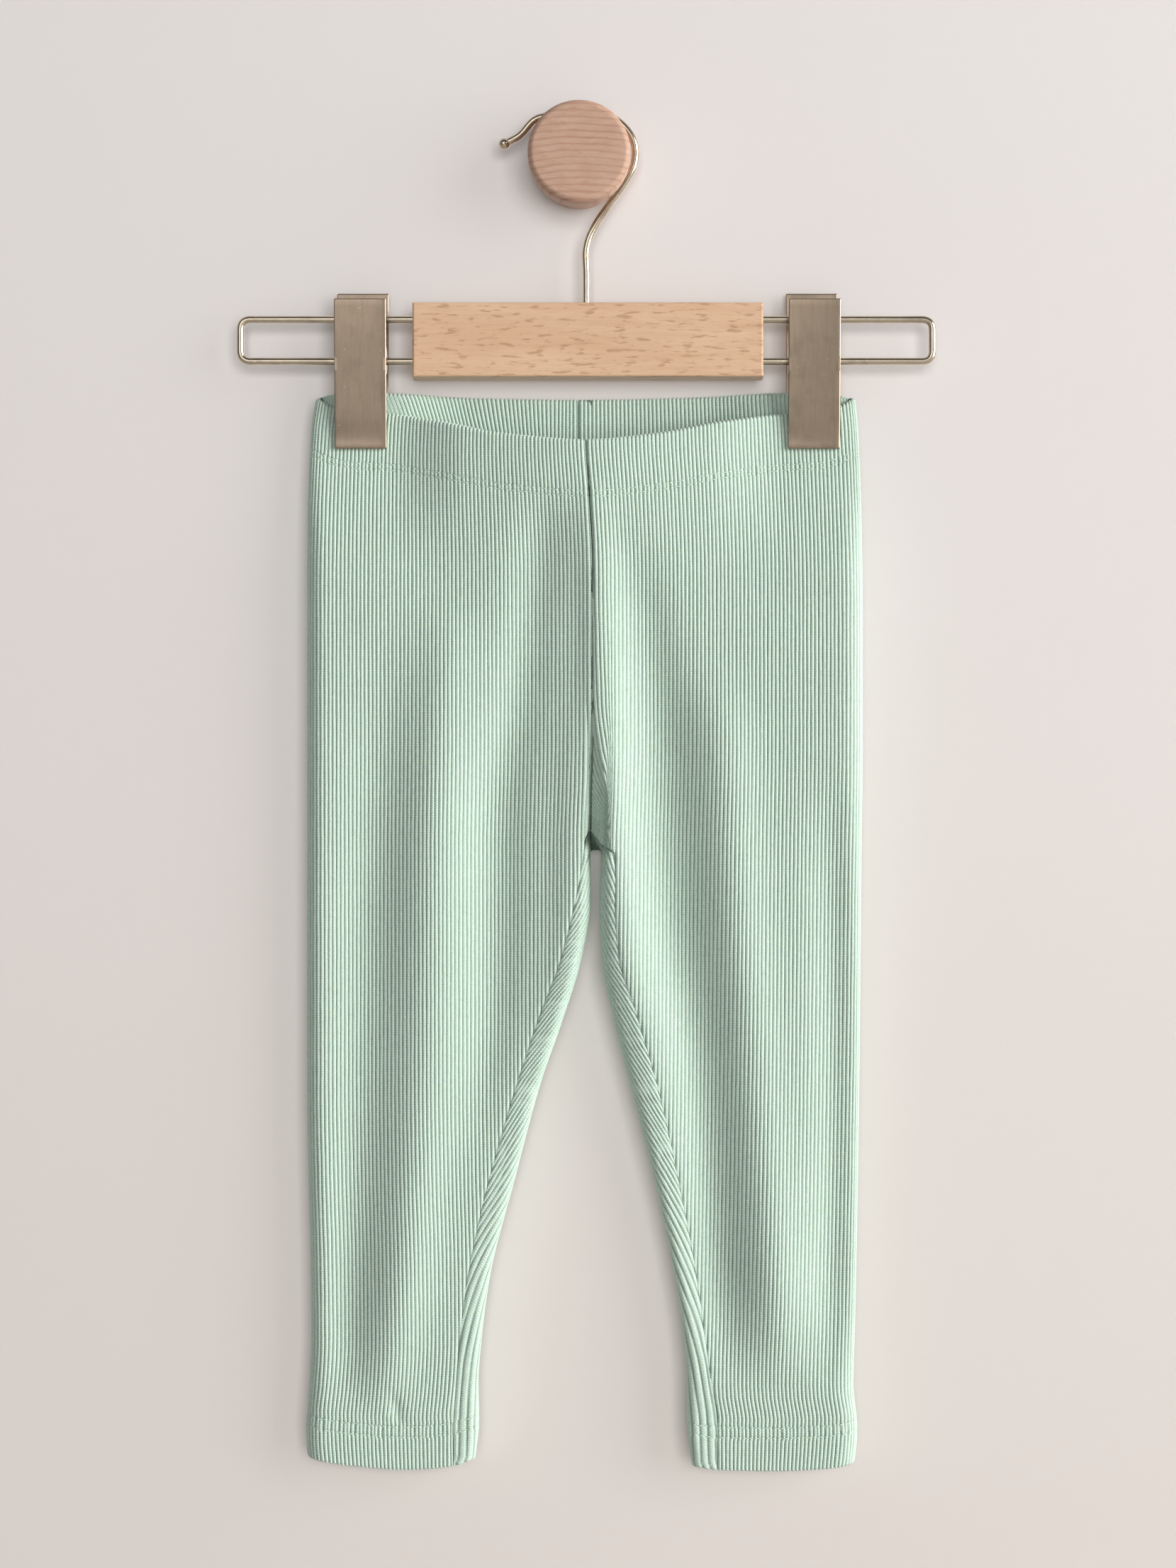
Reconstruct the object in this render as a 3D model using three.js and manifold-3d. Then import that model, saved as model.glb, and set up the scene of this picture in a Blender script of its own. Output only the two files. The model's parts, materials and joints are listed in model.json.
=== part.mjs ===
// Toddler's ribbed leggings hanging by the waist from a clip hanger on a wall knob.
// Millimetres, +Z up, the front faces -Y. The origin is the centre of the knob's flat back,
// which lies on the wall plane y = 0. Node names use the wearer's sides: right is at -X.
import * as THREE from 'three';
import { mergeVertices } from 'three/addons/utils/BufferGeometryUtils.js';
import Module from 'manifold-3d';

const wasm = await Module();
wasm.setup();

// Driving sizes

const GAP = 0.3;                   // between pieces at seams and in bores
const HANG_Y = -14;                // plane of the hook, the wires and the middle of the cloth

const KNIT_RIB = 1.7;              // knitted rib, crest to crest
const RIB_PITCH = 2 * KNIT_RIB;    // every second knitted rib is raised
const RIB_RISE = 0.6;              // crest above groove
const WALL = 1.0;                  // cloth at a groove
const BAND_WALL = 2.4;             // waistband: turned-over cloth with its elastic inside
const HEM_WALL = 2.0;              // hem: cloth turned up once
const INNER_EVERY = 5;             // the plain inside has every fifth column

const HALF_DEPTH = 8;              // half the depth of the flattened tube
const INNER_CLEAR = 0.25;          // from the hanging plane to the inside, where it is pinched
const CLIP_HALF_DEPTH = 2.7;       // half the depth where a clip's jaws hold the band
const PINCH_FROM = -190;           // the clips flatten the cloth above this height
const FLARE_FROM = -505;           // the cloth stretches with the hem's flare below this height
const BAND_HEIGHT = 24.5;
const HEM_HEIGHT = 18.4;
const CROTCH_Z = -294.5;
const CROTCH_X = 4.9;
const CROTCH_TILT = 5.5;           // the fork's top is this much higher in front, lower behind

const KNOB = { discR: 22, neckR: 19, neckL: 20, discL: 14, edge: 2 };
const WIRE_R = 1.6;
const BALL_R = 2.5;
const BLOCK = { x: 3.8, width: 151.2, top: -62.8, height: 32, depth: 14, edge: 0.8 };
const FRAME = { left: -146.6, right: 152.9, upper: -69.3, lower: -87.4, bend: 4.5, plug: 9 };
const HOOK_X = 3.17;
const CLIP = { width: 22.4, sheet: 1.2, frontTop: -61.6, rearTop: -56.5, jaw: -125.7, cheekR: 5.5 };
const CLIP_X = { right: -94.2, left: 101.35 };

const CLOTH_COLOUR = 0xc3d6c6;
const BEECH_COLOUR = 0xd8b594;
const KNOB_COLOUR = 0xc3a08a;
const NICKEL_COLOUR = 0x9a8c7c;
const WIRE_COLOUR = 0xcfc4b2;

// Outline of each leg in front view, by height. outer: fold at the hip side; inner: fold
// between the legs; seam: the front inseam, where the back panel's strip comes round.
const LEG_OUTLINE = {
  right: {
    //       z       x
    outer: [[-104, -113.4], [-118, -115.3], [-150, -116.8], [-190, -117.1], [-400, -117.1],
      [-441, -116.5], [-476, -115.6], [-510, -115.3], [-538, -116.8], [-550, -117.6], [-567, -116.2]],
    inner: [[-294.5, 4.75], [-300.5, 4.3], [-321, 4.4], [-345, 0.6], [-372, -7.7], [-400, -17.4],
      [-441, -28.4], [-483, -39.1], [-510, -42.8], [-530, -44.3], [-546, -44.0], [-567, -46.2]],
    seam: [[-294.5, 4.6], [-300.5, 3.0], [-321, -1.6], [-345, -7.6], [-372, -17.6], [-400, -26.9],
      [-441, -38.8], [-483, -48.0], [-510, -51.3], [-530, -53.2], [-546, -54.0], [-567, -54.0]],
  },
  left: {
    outer: [[-104, 119.0], [-118, 120.2], [-150, 121.5], [-200, 122.1], [-250, 122.1],
      [-310, 121.5], [-386, 120.8], [-455, 119.8], [-500, 118.9], [-530, 118.1], [-549, 119.8],
      [-567, 118.2]],
    inner: [[-294.5, 5.05], [-300.5, 10.2], [-321, 9.6], [-345, 10.4], [-372, 15.6], [-400, 22.7],
      [-441, 33.1], [-483, 41.9], [-510, 46.0], [-530, 47.4], [-546, 47.4], [-567, 49.6]],
    seam: [[-294.5, 5.2], [-300.5, 11.8], [-321, 13.2], [-345, 17.0], [-372, 25.6], [-400, 33.7],
      [-441, 42.8], [-483, 50.6], [-510, 54.4], [-530, 57.4], [-546, 59.4], [-567, 59.6]],
  },
};

// Centre seams, x by height
const FRONT_SEAM = [[-100, 2.6], [-123, 2.8], [-145, 4.3], [-180, 5.9], [-250, 6.0], [-294.5, 4.9]];
const BACK_SEAM = [[-100, -0.5], [-150, -0.4], [-220, 1.2], [-294.5, 4.9]];

// Top edge of the band, z by x
const FRONT_EDGE = [[-115.5, -104], [-106, -108.2], [-95, -110.2], [-83, -110.7], [-60, -114.6],
  [-30, -120.4], [3, -123.1], [32, -120.4], [62, -114.6], [90, -110.7], [102, -110.2],
  [111, -108.2], [120.3, -104]];
const BACK_EDGE = [[-115.5, -104], [-106, -102.2], [-83, -101.4], [-40, -103.0], [0, -103.7],
  [42, -103.0], [90, -101.4], [111, -102.2], [120.3, -104]];

// Lower edge of the hems, z by x
const HEM_EDGE = [[-118, -560.8], [-100, -563.6], [-75, -565.5], [-55, -564], [-45, -561.4],
  [47, -564.2], [62, -565.6], [85, -566.0], [105, -565.2], [121, -563.2]];

// Soft creases: a line in front view, its half width, and its rise (troughs are negative).
const CREASES = [
  // face      x0     z0     x1     z1   half  rise
  ['front', -88, -190, -96, -528, 13, -1.5],
  ['front', -59, -210, -76, -512, 12, 1.5],
  ['front', -30, -212, -37, -372, 12, -1.9],
  ['front', -101, -150, -108, -260, 7, 0.9],
  ['front', 12, -180, 26, -352, 8, 1.9],
  ['front', 32, -215, 55, -432, 12, -2.1],
  ['front', 60, -240, 87, -502, 13, 1.8],
  ['front', 105, -350, 101, -520, 9, -1.2],
  ['back', -78, -165, -60, -470, 14, -1.7],
  ['back', -42, -190, -30, -380, 12, 1.6],
  ['back', -97, -300, -92, -520, 11, 1.3],
  ['back', 40, -180, 44, -390, 13, -1.8],
  ['back', 74, -170, 88, -430, 13, 1.6],
  ['back', 104, -330, 92, -525, 11, -1.2],
];

// Heights of the leg's rows: on every column, and only beside the fold between the legs
const LEG_ROWS = [-150, -176, -232, -345, -400, -465, -520];
const FOLD_ROWS = [-299, -306, -321, -372, -432, -495];

// Small maths

const smooth = (t) => {
  const c = Math.min(1, Math.max(0, t));
  return c * c * (3 - 2 * c);
};

const mix = (a, b, t) => a + (b - a) * t;

// Smooth curve through a table of [key, value] rows, keys rising or falling.
function curve(table, key) {
  const rows = table[0][0] < table[1][0] ? table : [...table].reverse();
  const last = rows.length - 1;
  if (key <= rows[0][0]) return rows[0][1];
  if (key >= rows[last][0]) return rows[last][1];
  let i = 0;
  while (rows[i + 1][0] < key) i += 1;
  const slope = (a, b) => (rows[b][1] - rows[a][1]) / (rows[b][0] - rows[a][0]);
  const here = slope(i, i + 1);
  const bend = (a, b) => (a * b <= 0 ? 0 : (2 * a * b) / (a + b));
  const m0 = i > 0 ? bend(slope(i - 1, i), here) : here;
  const m1 = i + 2 <= last ? bend(here, slope(i + 1, i + 2)) : here;
  const span = rows[i + 1][0] - rows[i][0];
  const t = (key - rows[i][0]) / span;
  const t2 = t * t;
  const t3 = t2 * t;
  return (2 * t3 - 3 * t2 + 1) * rows[i][1] + (t3 - 2 * t2 + t) * span * m0
    + (3 * t2 - 2 * t3) * rows[i + 1][1] + (t3 - t2) * span * m1;
}

// Depth of the cloth from the hanging plane

function clipPinch(x, z) {
  let pinch = 0;
  for (const clipX of Object.values(CLIP_X)) {
    const across = 1 - smooth((Math.abs(x - clipX) - CLIP.width / 2 - 1) / 17);
    pinch = Math.max(pinch, across);
  }
  return pinch * smooth((z + 184) / 54);
}

function creaseRise(face, x, z) {
  let rise = 0;
  for (const [on, x0, z0, x1, z1, half, height] of CREASES) {
    if (on !== face) continue;
    const t = (z - z0) / (z1 - z0);
    if (t < -0.1 || t > 1.1) continue;
    const across = (x - mix(x0, x1, t)) / half;
    const along = smooth((t + 0.1) / 0.35) * smooth((1.1 - t) / 0.35);
    rise += height * along * Math.exp(-across * across);
  }
  return rise;
}

function depthAt(face, x, z) {
  const base = HALF_DEPTH * mix(1, 0.88, smooth((-z - 440) / 100));
  let depth = mix(base, CLIP_HALF_DEPTH, clipPinch(x, z)) + creaseRise(face, x, z);
  if (face === 'front') {
    const across = Math.cos(Math.min(1, Math.abs(x - CROTCH_X) / 84) * Math.PI / 2) ** 2;
    depth += 7.5 * across * smooth((z + 235) / 105);
  }
  return depth;
}

// One leg's cloth, laid out by s: the distance round the body from the hip fold, below zero
// on the front and above zero on the back, where it also runs round between the legs.
class LegCloth {
  constructor(side) {
    this.side = side;
    this.inward = side === 'right' ? 1 : -1;
    this.outline = LEG_OUTLINE[side];
    this.quarter = (Math.PI / 2) * HALF_DEPTH;
    this.frontLimit = this.flatLength(this.width('front', CROTCH_Z));
    this.backLimit = this.flatLength(this.width('back', CROTCH_Z));
    this.limits = this.seamLimits();
    this.widest = Math.max(...this.limits.map((row) => row.back));
    // Where the back's reach stays level for a while, that column has a corner.
    const level = this.limits.find((row, i) => i > 0 && row.back === this.limits[i - 1].back);
    this.shelf = level ? { s: level.back, z: level.z } : null;
  }

  outer(z) {
    return curve(this.outline.outer, z);
  }

  // From the hip fold to the centre seam
  width(face, z) {
    const seam = curve(face === 'front' ? FRONT_SEAM : BACK_SEAM, z);
    return Math.abs(seam - this.outer(z)) - GAP / 2;
  }

  flatLength(width) {
    return this.quarter + width - HALF_DEPTH;
  }

  innerRadius(z) {
    return mix(1.8, HALF_DEPTH - 1, smooth((CROTCH_Z - z) / 22));
  }

  // From the hip fold to the fold between the legs
  halfRound(z) {
    const r = this.innerRadius(z);
    const width = Math.abs(curve(this.outline.inner, z) - this.outer(z));
    return this.quarter + width - HALF_DEPTH - r + (Math.PI / 2) * r + HALF_DEPTH - r;
  }

  // From the fold between the legs to the inseam on the front
  stripLength(z) {
    const r = this.innerRadius(z);
    const across = Math.abs(curve(this.outline.seam, z) - curve(this.outline.inner, z));
    const corner = across < r ? r * Math.acos(1 - across / r) : (Math.PI / 2) * r + across - r;
    return HALF_DEPTH - r + corner;
  }

  // How far the front and the back reach at each height below the crotch. The back's reach
  // only grows, then only shrinks, on the way down.
  seamLimits() {
    const rows = [];
    for (let z = CROTCH_Z; z >= -570; z -= 0.5) {
      const half = this.halfRound(z);
      const seam = half + this.stripLength(z);
      rows.push({ z, half, seam, back: seam });
    }
    let most = 0;
    let peak = rows.length - 1;
    rows.forEach((row, i) => {
      if (row.z < -318 && row.back > most) {
        most = row.back;
        peak = i;
      }
    });
    const rising = rows[0].back < most;
    for (let i = 1; i < peak; i += 1) {
      const before = rows[i - 1].back;
      rows[i].back = rising ? Math.max(rows[i].back, before + 1e-4)
        : Math.min(Math.max(rows[i].back, most), before);
    }
    for (let i = peak + 1; i < rows.length; i += 1) {
      rows[i].back = Math.min(rows[i].back, rows[i - 1].back - 1e-4);
    }
    rows.forEach((row, i) => {
      row.front = 2 * row.half - (row.z < FLARE_FROM ? row.seam : row.back);
      row.frontSeam = row.front;
      if (i > 0) row.front = Math.min(row.front, rows[i - 1].front - 1e-4);
    });
    // The front's corner under the crotch stands a little further off the strip. Where the
    // hem flares, both faces stretch as far as the seam.
    const corner = (z) => 0.5 * (1 - smooth((CROTCH_Z - z - 5) / 8));
    return rows.map((row) => {
      const front = row.front - GAP / 2 - corner(row.z);
      const back = row.back - GAP / 2;
      const flared = row.z < FLARE_FROM;
      const frontStretch = flared ? (row.frontSeam - GAP / 2) / front : 1;
      const backStretch = flared ? (row.seam - GAP / 2) / back : 1;
      return { z: row.z, front, back, frontStretch, backStretch };
    });
  }

  limitAt(key, z) {
    const at = (CROTCH_Z - z) / 0.5;
    const i = Math.min(this.limits.length - 2, Math.max(0, Math.floor(at)));
    return mix(this.limits[i][key], this.limits[i + 1][key], at - i);
  }

  // Height where the seam crosses the column s, seen from below or from above.
  seamHeight(s, from) {
    const key = s < 0 ? 'front' : 'back';
    const reach = Math.abs(s);
    const rows = this.limits;
    if (from === 'below') {
      for (let i = rows.length - 2; i >= 0; i -= 1) {
        const [above, below] = [rows[i], rows[i + 1]];
        if (above[key] >= reach && below[key] < reach) {
          return mix(above.z, below.z, (above[key] - reach) / (above[key] - below[key]));
        }
      }
      return reach > rows[0][key] ? CROTCH_Z : -Infinity;
    }
    for (let i = 0; i < rows.length - 1; i += 1) {
      const [above, below] = [rows[i], rows[i + 1]];
      if (above[key] < reach && below[key] >= reach) {
        return mix(above.z, below.z, (reach - above[key]) / (below[key] - above[key]));
      }
    }
    return CROTCH_Z;
  }

  // Middle surface point under the ribs' grooves.
  place(s, z, joined = z >= CROTCH_Z && Math.abs(s) <= this.backLimit + 0.01) {
    let face = s < 0 ? 'front' : 'back';
    const reach = Math.abs(s) * (z < FLARE_FROM ? this.limitAt(`${face}Stretch`, z) : 1);
    let inwards;
    let profile = 1;
    if (reach < this.quarter) {
      inwards = HALF_DEPTH * (1 - Math.cos(reach / HALF_DEPTH));
      profile = Math.sin(reach / HALF_DEPTH);
    } else if (joined) {
      const limit = face === 'front' ? this.frontLimit : this.backLimit;
      const share = (reach - this.quarter) / (limit - this.quarter);
      inwards = mix(HALF_DEPTH, this.width(face, z), share);
    } else {
      const r = this.innerRadius(z);
      const width = Math.abs(curve(this.outline.inner, z) - this.outer(z));
      const left = this.halfRound(z) - reach;
      const before = Math.abs(left);
      if (left < 0) face = 'front';
      const straight = HALF_DEPTH - r;
      const bend = (before - straight) / r;
      if (before < straight) {
        inwards = width;
        profile = before / HALF_DEPTH;
      } else if (bend < Math.PI / 2) {
        inwards = width - r * (1 - Math.cos(bend));
        profile = (straight + r * Math.sin(bend)) / HALF_DEPTH;
      } else {
        inwards = width - r - (before - straight - (Math.PI / 2) * r);
      }
    }
    const x = this.outer(z) + this.inward * inwards;
    const depth = depthAt(face, x, z) * profile;
    const y = HANG_Y + (face === 'front' ? -depth : depth);
    const near = smooth(1 - Math.abs(z - CROTCH_Z) / 26);
    const beside = x > CROTCH_X ? 1 - (x - CROTCH_X) / 5.4 : 1 - (CROTCH_X - x) / 16;
    const tilt = CROTCH_TILT * near * Math.max(0, beside) * ((HANG_Y - y) / HALF_DEPTH);
    return new THREE.Vector3(x, y, z + tilt);
  }

  // Point at a height above the middle surface, along its outward normal. The inside of the
  // front and of the back stay on their own side of the hanging plane.
  point(s, z, rise) {
    const joined = z >= CROTCH_Z && Math.abs(s) <= this.backLimit + 0.01;
    const at = this.place(s, z, joined);
    const across = this.place(s + 0.4, z, joined).sub(this.place(s - 0.4, z, joined));
    const along = this.place(s, joined ? z + 0.8 : z - 0.8, joined).sub(at);
    const normal = joined ? across.cross(along) : along.cross(across);
    normal.normalize().multiplyScalar(-this.inward);
    const middle = at.y;
    at.addScaledVector(normal, rise);
    const away = Math.sign(middle - HANG_Y);
    const pinched = rise < 0 && z > PINCH_FROM && (at.y - HANG_Y) * away < INNER_CLEAR;
    if (pinched) at.y = HANG_Y + away * INNER_CLEAR;
    return at;
  }

  topHeight(s) {
    const x = this.place(s, -120, true).x;
    return curve(s < 0 ? FRONT_EDGE : BACK_EDGE, x);
  }

  hemHeight(s) {
    return curve(HEM_EDGE, this.place(s, -556, false).x);
  }
}

// A skin is a list of columns, each with its s and its vertices from top to bottom.

function zip(triangles, a, b, keyA, keyB) {
  let i = 0;
  let j = 0;
  while (i < a.length - 1 || j < b.length - 1) {
    const stepA = j === b.length - 1 || (i < a.length - 1 && keyA[i + 1] <= keyB[j + 1]);
    if (stepA) {
      triangles.push(a[i], b[j], a[i + 1]);
      i += 1;
    } else {
      triangles.push(a[i], b[j], b[j + 1]);
      j += 1;
    }
  }
}

class Skin {
  constructor(vertices) {
    this.vertices = vertices;
    this.triangles = [];
    this.columns = [];
  }

  // A column with a corner goes on past it only below upper, or only above lower.
  addColumn(s, { rows, upper = null, lower = null }, position) {
    const ids = rows.map((z) => {
      this.vertices.push(position(s, z));
      return this.vertices.length - 1;
    });
    const keys = rows.map((z) => -z);
    const from = upper === null ? 0 : rows.indexOf(upper);
    const to = lower === null ? rows.length - 1 : rows.indexOf(lower);
    this.columns.push({ s, ids, keys, from, to });
  }

  // Faces between neighbouring columns
  join() {
    for (let i = 0; i + 1 < this.columns.length; i += 1) {
      const a = this.columns[i];
      const b = this.columns[i + 1];
      const part = (list) => list.slice(a.from, a.to + 1);
      zip(this.triangles, part(a.ids), b.ids, part(a.keys), b.keys);
    }
  }

  // The edge along the top or the bottom, in stretches parted by the corners
  edge(where) {
    const stretches = [{ ids: [], keys: [] }];
    for (const c of this.columns) {
      const last = c.ids.length - 1;
      const end = where === 'top' ? 0 : last;
      const corner = where === 'top' ? c.from : c.to;
      stretches[stretches.length - 1].ids.push(c.ids[end]);
      stretches[stretches.length - 1].keys.push(c.s);
      if (corner !== end) {
        const [low, high] = [Math.min(end, corner), Math.max(end, corner)];
        const side = { ids: c.ids.slice(low, high + 1), keys: c.keys.slice(low, high + 1) };
        if (where === 'bottom') {
          side.ids.reverse();
          side.keys = side.keys.reverse().map((k) => -k);
        }
        stretches.push(side, { ids: [c.ids[corner]], keys: [c.s] });
      }
    }
    return stretches;
  }

  get first() {
    return this.columns[0];
  }

  get last() {
    return this.columns[this.columns.length - 1];
  }
}

function flip(triangles) {
  const out = [];
  for (let i = 0; i < triangles.length; i += 3) {
    out.push(triangles[i], triangles[i + 2], triangles[i + 1]);
  }
  return out;
}

// Closes the rim between an outer and an inner skin that share their end and corner columns.
function closeRim(outer, inner) {
  const high = [];
  const low = [];
  const seal = (out, a, b) => zip(out, a.ids, b.ids, a.keys, b.keys);
  const both = (where, out) => {
    const inside = inner.edge(where);
    outer.edge(where).forEach((stretch, i) => seal(out, stretch, inside[i]));
  };
  both('top', high);
  both('bottom', low);
  seal(low, outer.first, inner.first);
  seal(high, outer.last, inner.last);
  return [...high, ...flip(low)];
}

// A mesh whose points at one place are one, without the faces that have no area
function weldedGeometry(vertices, triangles) {
  const geometry = new THREE.BufferGeometry();
  const flat = new Float32Array(vertices.length * 3);
  vertices.forEach((v, i) => v.toArray(flat, i * 3));
  geometry.setAttribute('position', new THREE.BufferAttribute(flat, 3));
  geometry.setIndex(triangles);
  const merged = mergeVertices(geometry, 1e-5);
  const index = merged.index.array;
  const kept = [];
  for (let i = 0; i < index.length; i += 3) {
    const [a, b, c] = [index[i], index[i + 1], index[i + 2]];
    if (a !== b && b !== c && c !== a) kept.push(a, b, c);
  }
  merged.setIndex(kept);
  return merged;
}

// A ribbed outer skin over a plain inner one. columnRows gives the heights of a column, and
// position places a vertex at a rise above the middle surface.
function ribbedWall(leg, sFrom, sTo, wall, columnRows, position, corners = []) {
  const vertices = [];
  const outer = new Skin(vertices);
  const inner = new Skin(vertices);
  const half = RIB_PITCH / 2;
  const fixed = [sFrom, ...corners, sTo];
  const ribEdges = [...fixed];
  for (let k = Math.ceil(sFrom / half); k * half < sTo; k += 1) {
    if (fixed.every((s) => Math.abs(s - k * half) > 0.35)) ribEdges.push(k * half);
  }
  ribEdges.sort((a, b) => a - b);
  // The inside has fewer columns, but for the stretches that a slanting seam cuts.
  const plain = ribEdges.filter((s, i) => {
    const cut = corners.length > 0 && (s > corners[0] || s < sFrom + 18);
    const rounded = Math.abs(s) < leg.quarter + half;
    return fixed.includes(s) || cut || i % (rounded ? 2 : INNER_EVERY) === 0;
  });
  for (const s of ribEdges) {
    const crest = !fixed.includes(s) && Math.abs(Math.round(s / half)) % 2 === 1;
    outer.addColumn(s, columnRows(s), (c, z) => position(c, z, crest ? RIB_RISE : 0));
  }
  for (const s of plain) inner.addColumn(s, columnRows(s), (c, z) => position(c, z, -wall));
  outer.join();
  inner.join();
  const rim = closeRim(outer, inner);
  let triangles = [...outer.triangles, ...flip(inner.triangles), ...rim];
  if (leg.inward < 0) triangles = flip(triangles);
  return weldedGeometry(vertices, triangles);
}

function legPanel(leg) {
  const { backLimit, frontLimit, shelf } = leg;
  const same = (a, b) => Math.abs(a - b) < 0.01;
  const columnRows = (s) => {
    const underFork = s > backLimit + 0.01;
    const onShelf = shelf !== null && same(s, shelf.s);
    const top = underFork ? leg.seamHeight(s, 'above') : leg.topHeight(s) - BAND_HEIGHT - GAP;
    let bottom = Math.max(leg.hemHeight(s) + HEM_HEIGHT, leg.seamHeight(s, 'below'));
    if (same(s, -frontLimit)) bottom = CROTCH_Z;
    const beside = FOLD_ROWS.filter((z) => Math.abs(leg.halfRound(z) - Math.abs(s)) < 24);
    const wanted = [...LEG_ROWS, CROTCH_Z, ...beside, ...(onShelf ? [shelf.z] : [])];
    const crowded = (z) => onShelf && z !== shelf.z && Math.abs(z - shelf.z) < 2;
    const kept = (z) => z < top - 1.2 && z > bottom + 1.2 && !crowded(z);
    const between = wanted.filter(kept).sort((a, b) => b - a);
    const rows = top - bottom > 0.05 ? [top, ...between, bottom] : [top];
    return { rows, upper: same(s, backLimit) ? CROTCH_Z : null, lower: onShelf ? shelf.z : null };
  };
  // The ribs flatten out into the seam under the crotch.
  const position = (s, z, rise) => {
    const atFork = rise > 0 && Math.abs(s) > frontLimit - 6;
    return leg.point(s, z, atFork ? rise * smooth((Math.abs(z - CROTCH_Z) - 1) / 8) : rise);
  };
  const corners = shelf === null ? [backLimit] : [backLimit, shelf.s];
  return ribbedWall(leg, -frontLimit, leg.widest, WALL, columnRows, position, corners);
}

function waistband(leg) {
  const columnRows = (s) => {
    const top = leg.topHeight(s);
    return { rows: [top, top - BAND_HEIGHT] };
  };
  return ribbedWall(leg, -leg.frontLimit, leg.backLimit, BAND_WALL, columnRows,
    (s, z, rise) => leg.point(s, z, rise));
}

function hem(leg) {
  const level = -549;
  const front = leg.limitAt('front', level);
  const back = leg.limitAt('back', level);
  const spread = (s, z) => (
    s * (s < 0 ? leg.limitAt('front', z) / front : leg.limitAt('back', z) / back));
  const columnRows = (s) => {
    const low = leg.hemHeight(s);
    return { rows: [low + HEM_HEIGHT - GAP, low] };
  };
  return ribbedWall(leg, -front, back, HEM_WALL, columnRows,
    (s, z, rise) => leg.point(spread(s, z), z, rise));
}

// Solids by boolean operations

function toSolid(geometry) {
  const bare = geometry.index ? geometry.clone() : geometry;
  bare.deleteAttribute('normal');
  bare.deleteAttribute('uv');
  const merged = mergeVertices(bare, 1e-4);
  return new wasm.Manifold(new wasm.Mesh({
    numProp: 3,
    vertProperties: Float32Array.from(merged.attributes.position.array),
    triVerts: Uint32Array.from(merged.index.array),
  }));
}

function toGeometry(solid) {
  const mesh = solid.getMesh();
  const geometry = new THREE.BufferGeometry();
  const places = Float32Array.from(mesh.vertProperties);
  geometry.setAttribute('position', new THREE.BufferAttribute(places, 3));
  geometry.setIndex(Array.from(mesh.triVerts));
  return geometry;
}

// A rod along X from x0 to x1 at height z
function rodX(radius, x0, x1, z, sides = 12, y = HANG_Y) {
  return new THREE.CylinderGeometry(radius, radius, x1 - x0, sides)
    .rotateZ(Math.PI / 2)
    .translate((x0 + x1) / 2, y, z);
}

function knob() {
  const { discR, neckR, neckL, discL, edge } = KNOB;
  const end = neckL + discL;
  const profile = [[0, 0], [neckR, 0], [neckR, neckL], [discR - edge * 0.4, neckL],
    [discR, neckL + edge], [discR, end - edge], [discR - 0.3 * edge, end - 0.3 * edge],
    [discR - edge, end], [0, end]];
  return new THREE.LatheGeometry(profile.map(([r, h]) => new THREE.Vector2(r, h)), 40)
    .rotateX(Math.PI);
}

// The hook's wire: up from the block, out to the right, over the knob's neck and down to a
// ball at the left.
function hook() {
  const { neckR, neckL } = KNOB;
  const rest = neckR + GAP + WIRE_R;
  const over = [70, 90, 112].map((degrees) => {
    const a = (degrees * Math.PI) / 180;
    return [rest * 1.012 * Math.cos(a), rest * 1.012 * Math.sin(a)];
  });
  const route = [[HOOK_X, BLOCK.top - 10], [HOOK_X, -50], [HOOK_X, -38], [7.6, -27.5],
    [19.0, -11], [23.9, -1.5], [23.4, 8.5], [16.8, 16.6], ...over, [-18.7, 17.5],
    [-25.5, 10.6], [-32.4, 6.7]];
  const path = new THREE.CatmullRomCurve3(route.map(([x, z]) => new THREE.Vector3(x, HANG_Y, z)));
  const [tipX, tipZ] = route[route.length - 1];
  const ball = new THREE.SphereGeometry(BALL_R, 12, 8).translate(tipX, HANG_Y, tipZ);
  return toGeometry(toSolid(wireThrough(path.getSpacedPoints(40))).add(toSolid(ball)));
}

function block() {
  const { x, width, top, height, depth, edge } = BLOCK;
  const face = new THREE.Shape();
  const [hw, hh] = [width / 2 - edge, height / 2 - edge];
  face.moveTo(-hw, -hh).lineTo(hw, -hh).lineTo(hw, hh).lineTo(-hw, hh).closePath();
  const bar = new THREE.ExtrudeGeometry(face, {
    depth: depth - 2 * edge,
    bevelEnabled: true,
    bevelSize: edge,
    bevelThickness: edge,
    bevelSegments: 2,
  });
  bar.rotateX(Math.PI / 2).translate(x, HANG_Y + depth / 2 - edge, top - height / 2);
  const bore = WIRE_R + GAP;
  const reach = FRAME.plug + GAP;
  const sides = [x - width / 2, x + width / 2];
  let solid = toSolid(bar);
  for (const z of [FRAME.upper, FRAME.lower]) {
    solid = solid.subtract(toSolid(rodX(bore, sides[0] - 1, sides[0] + reach, z)));
    solid = solid.subtract(toSolid(rodX(bore, sides[1] - reach, sides[1] + 1, z)));
  }
  const shaft = new THREE.CylinderGeometry(bore, bore, 12, 12).rotateX(Math.PI / 2);
  shaft.translate(HOOK_X, HANG_Y, top - 10 - GAP + 6);
  return toGeometry(solid.subtract(toSolid(shaft)));
}

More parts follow.
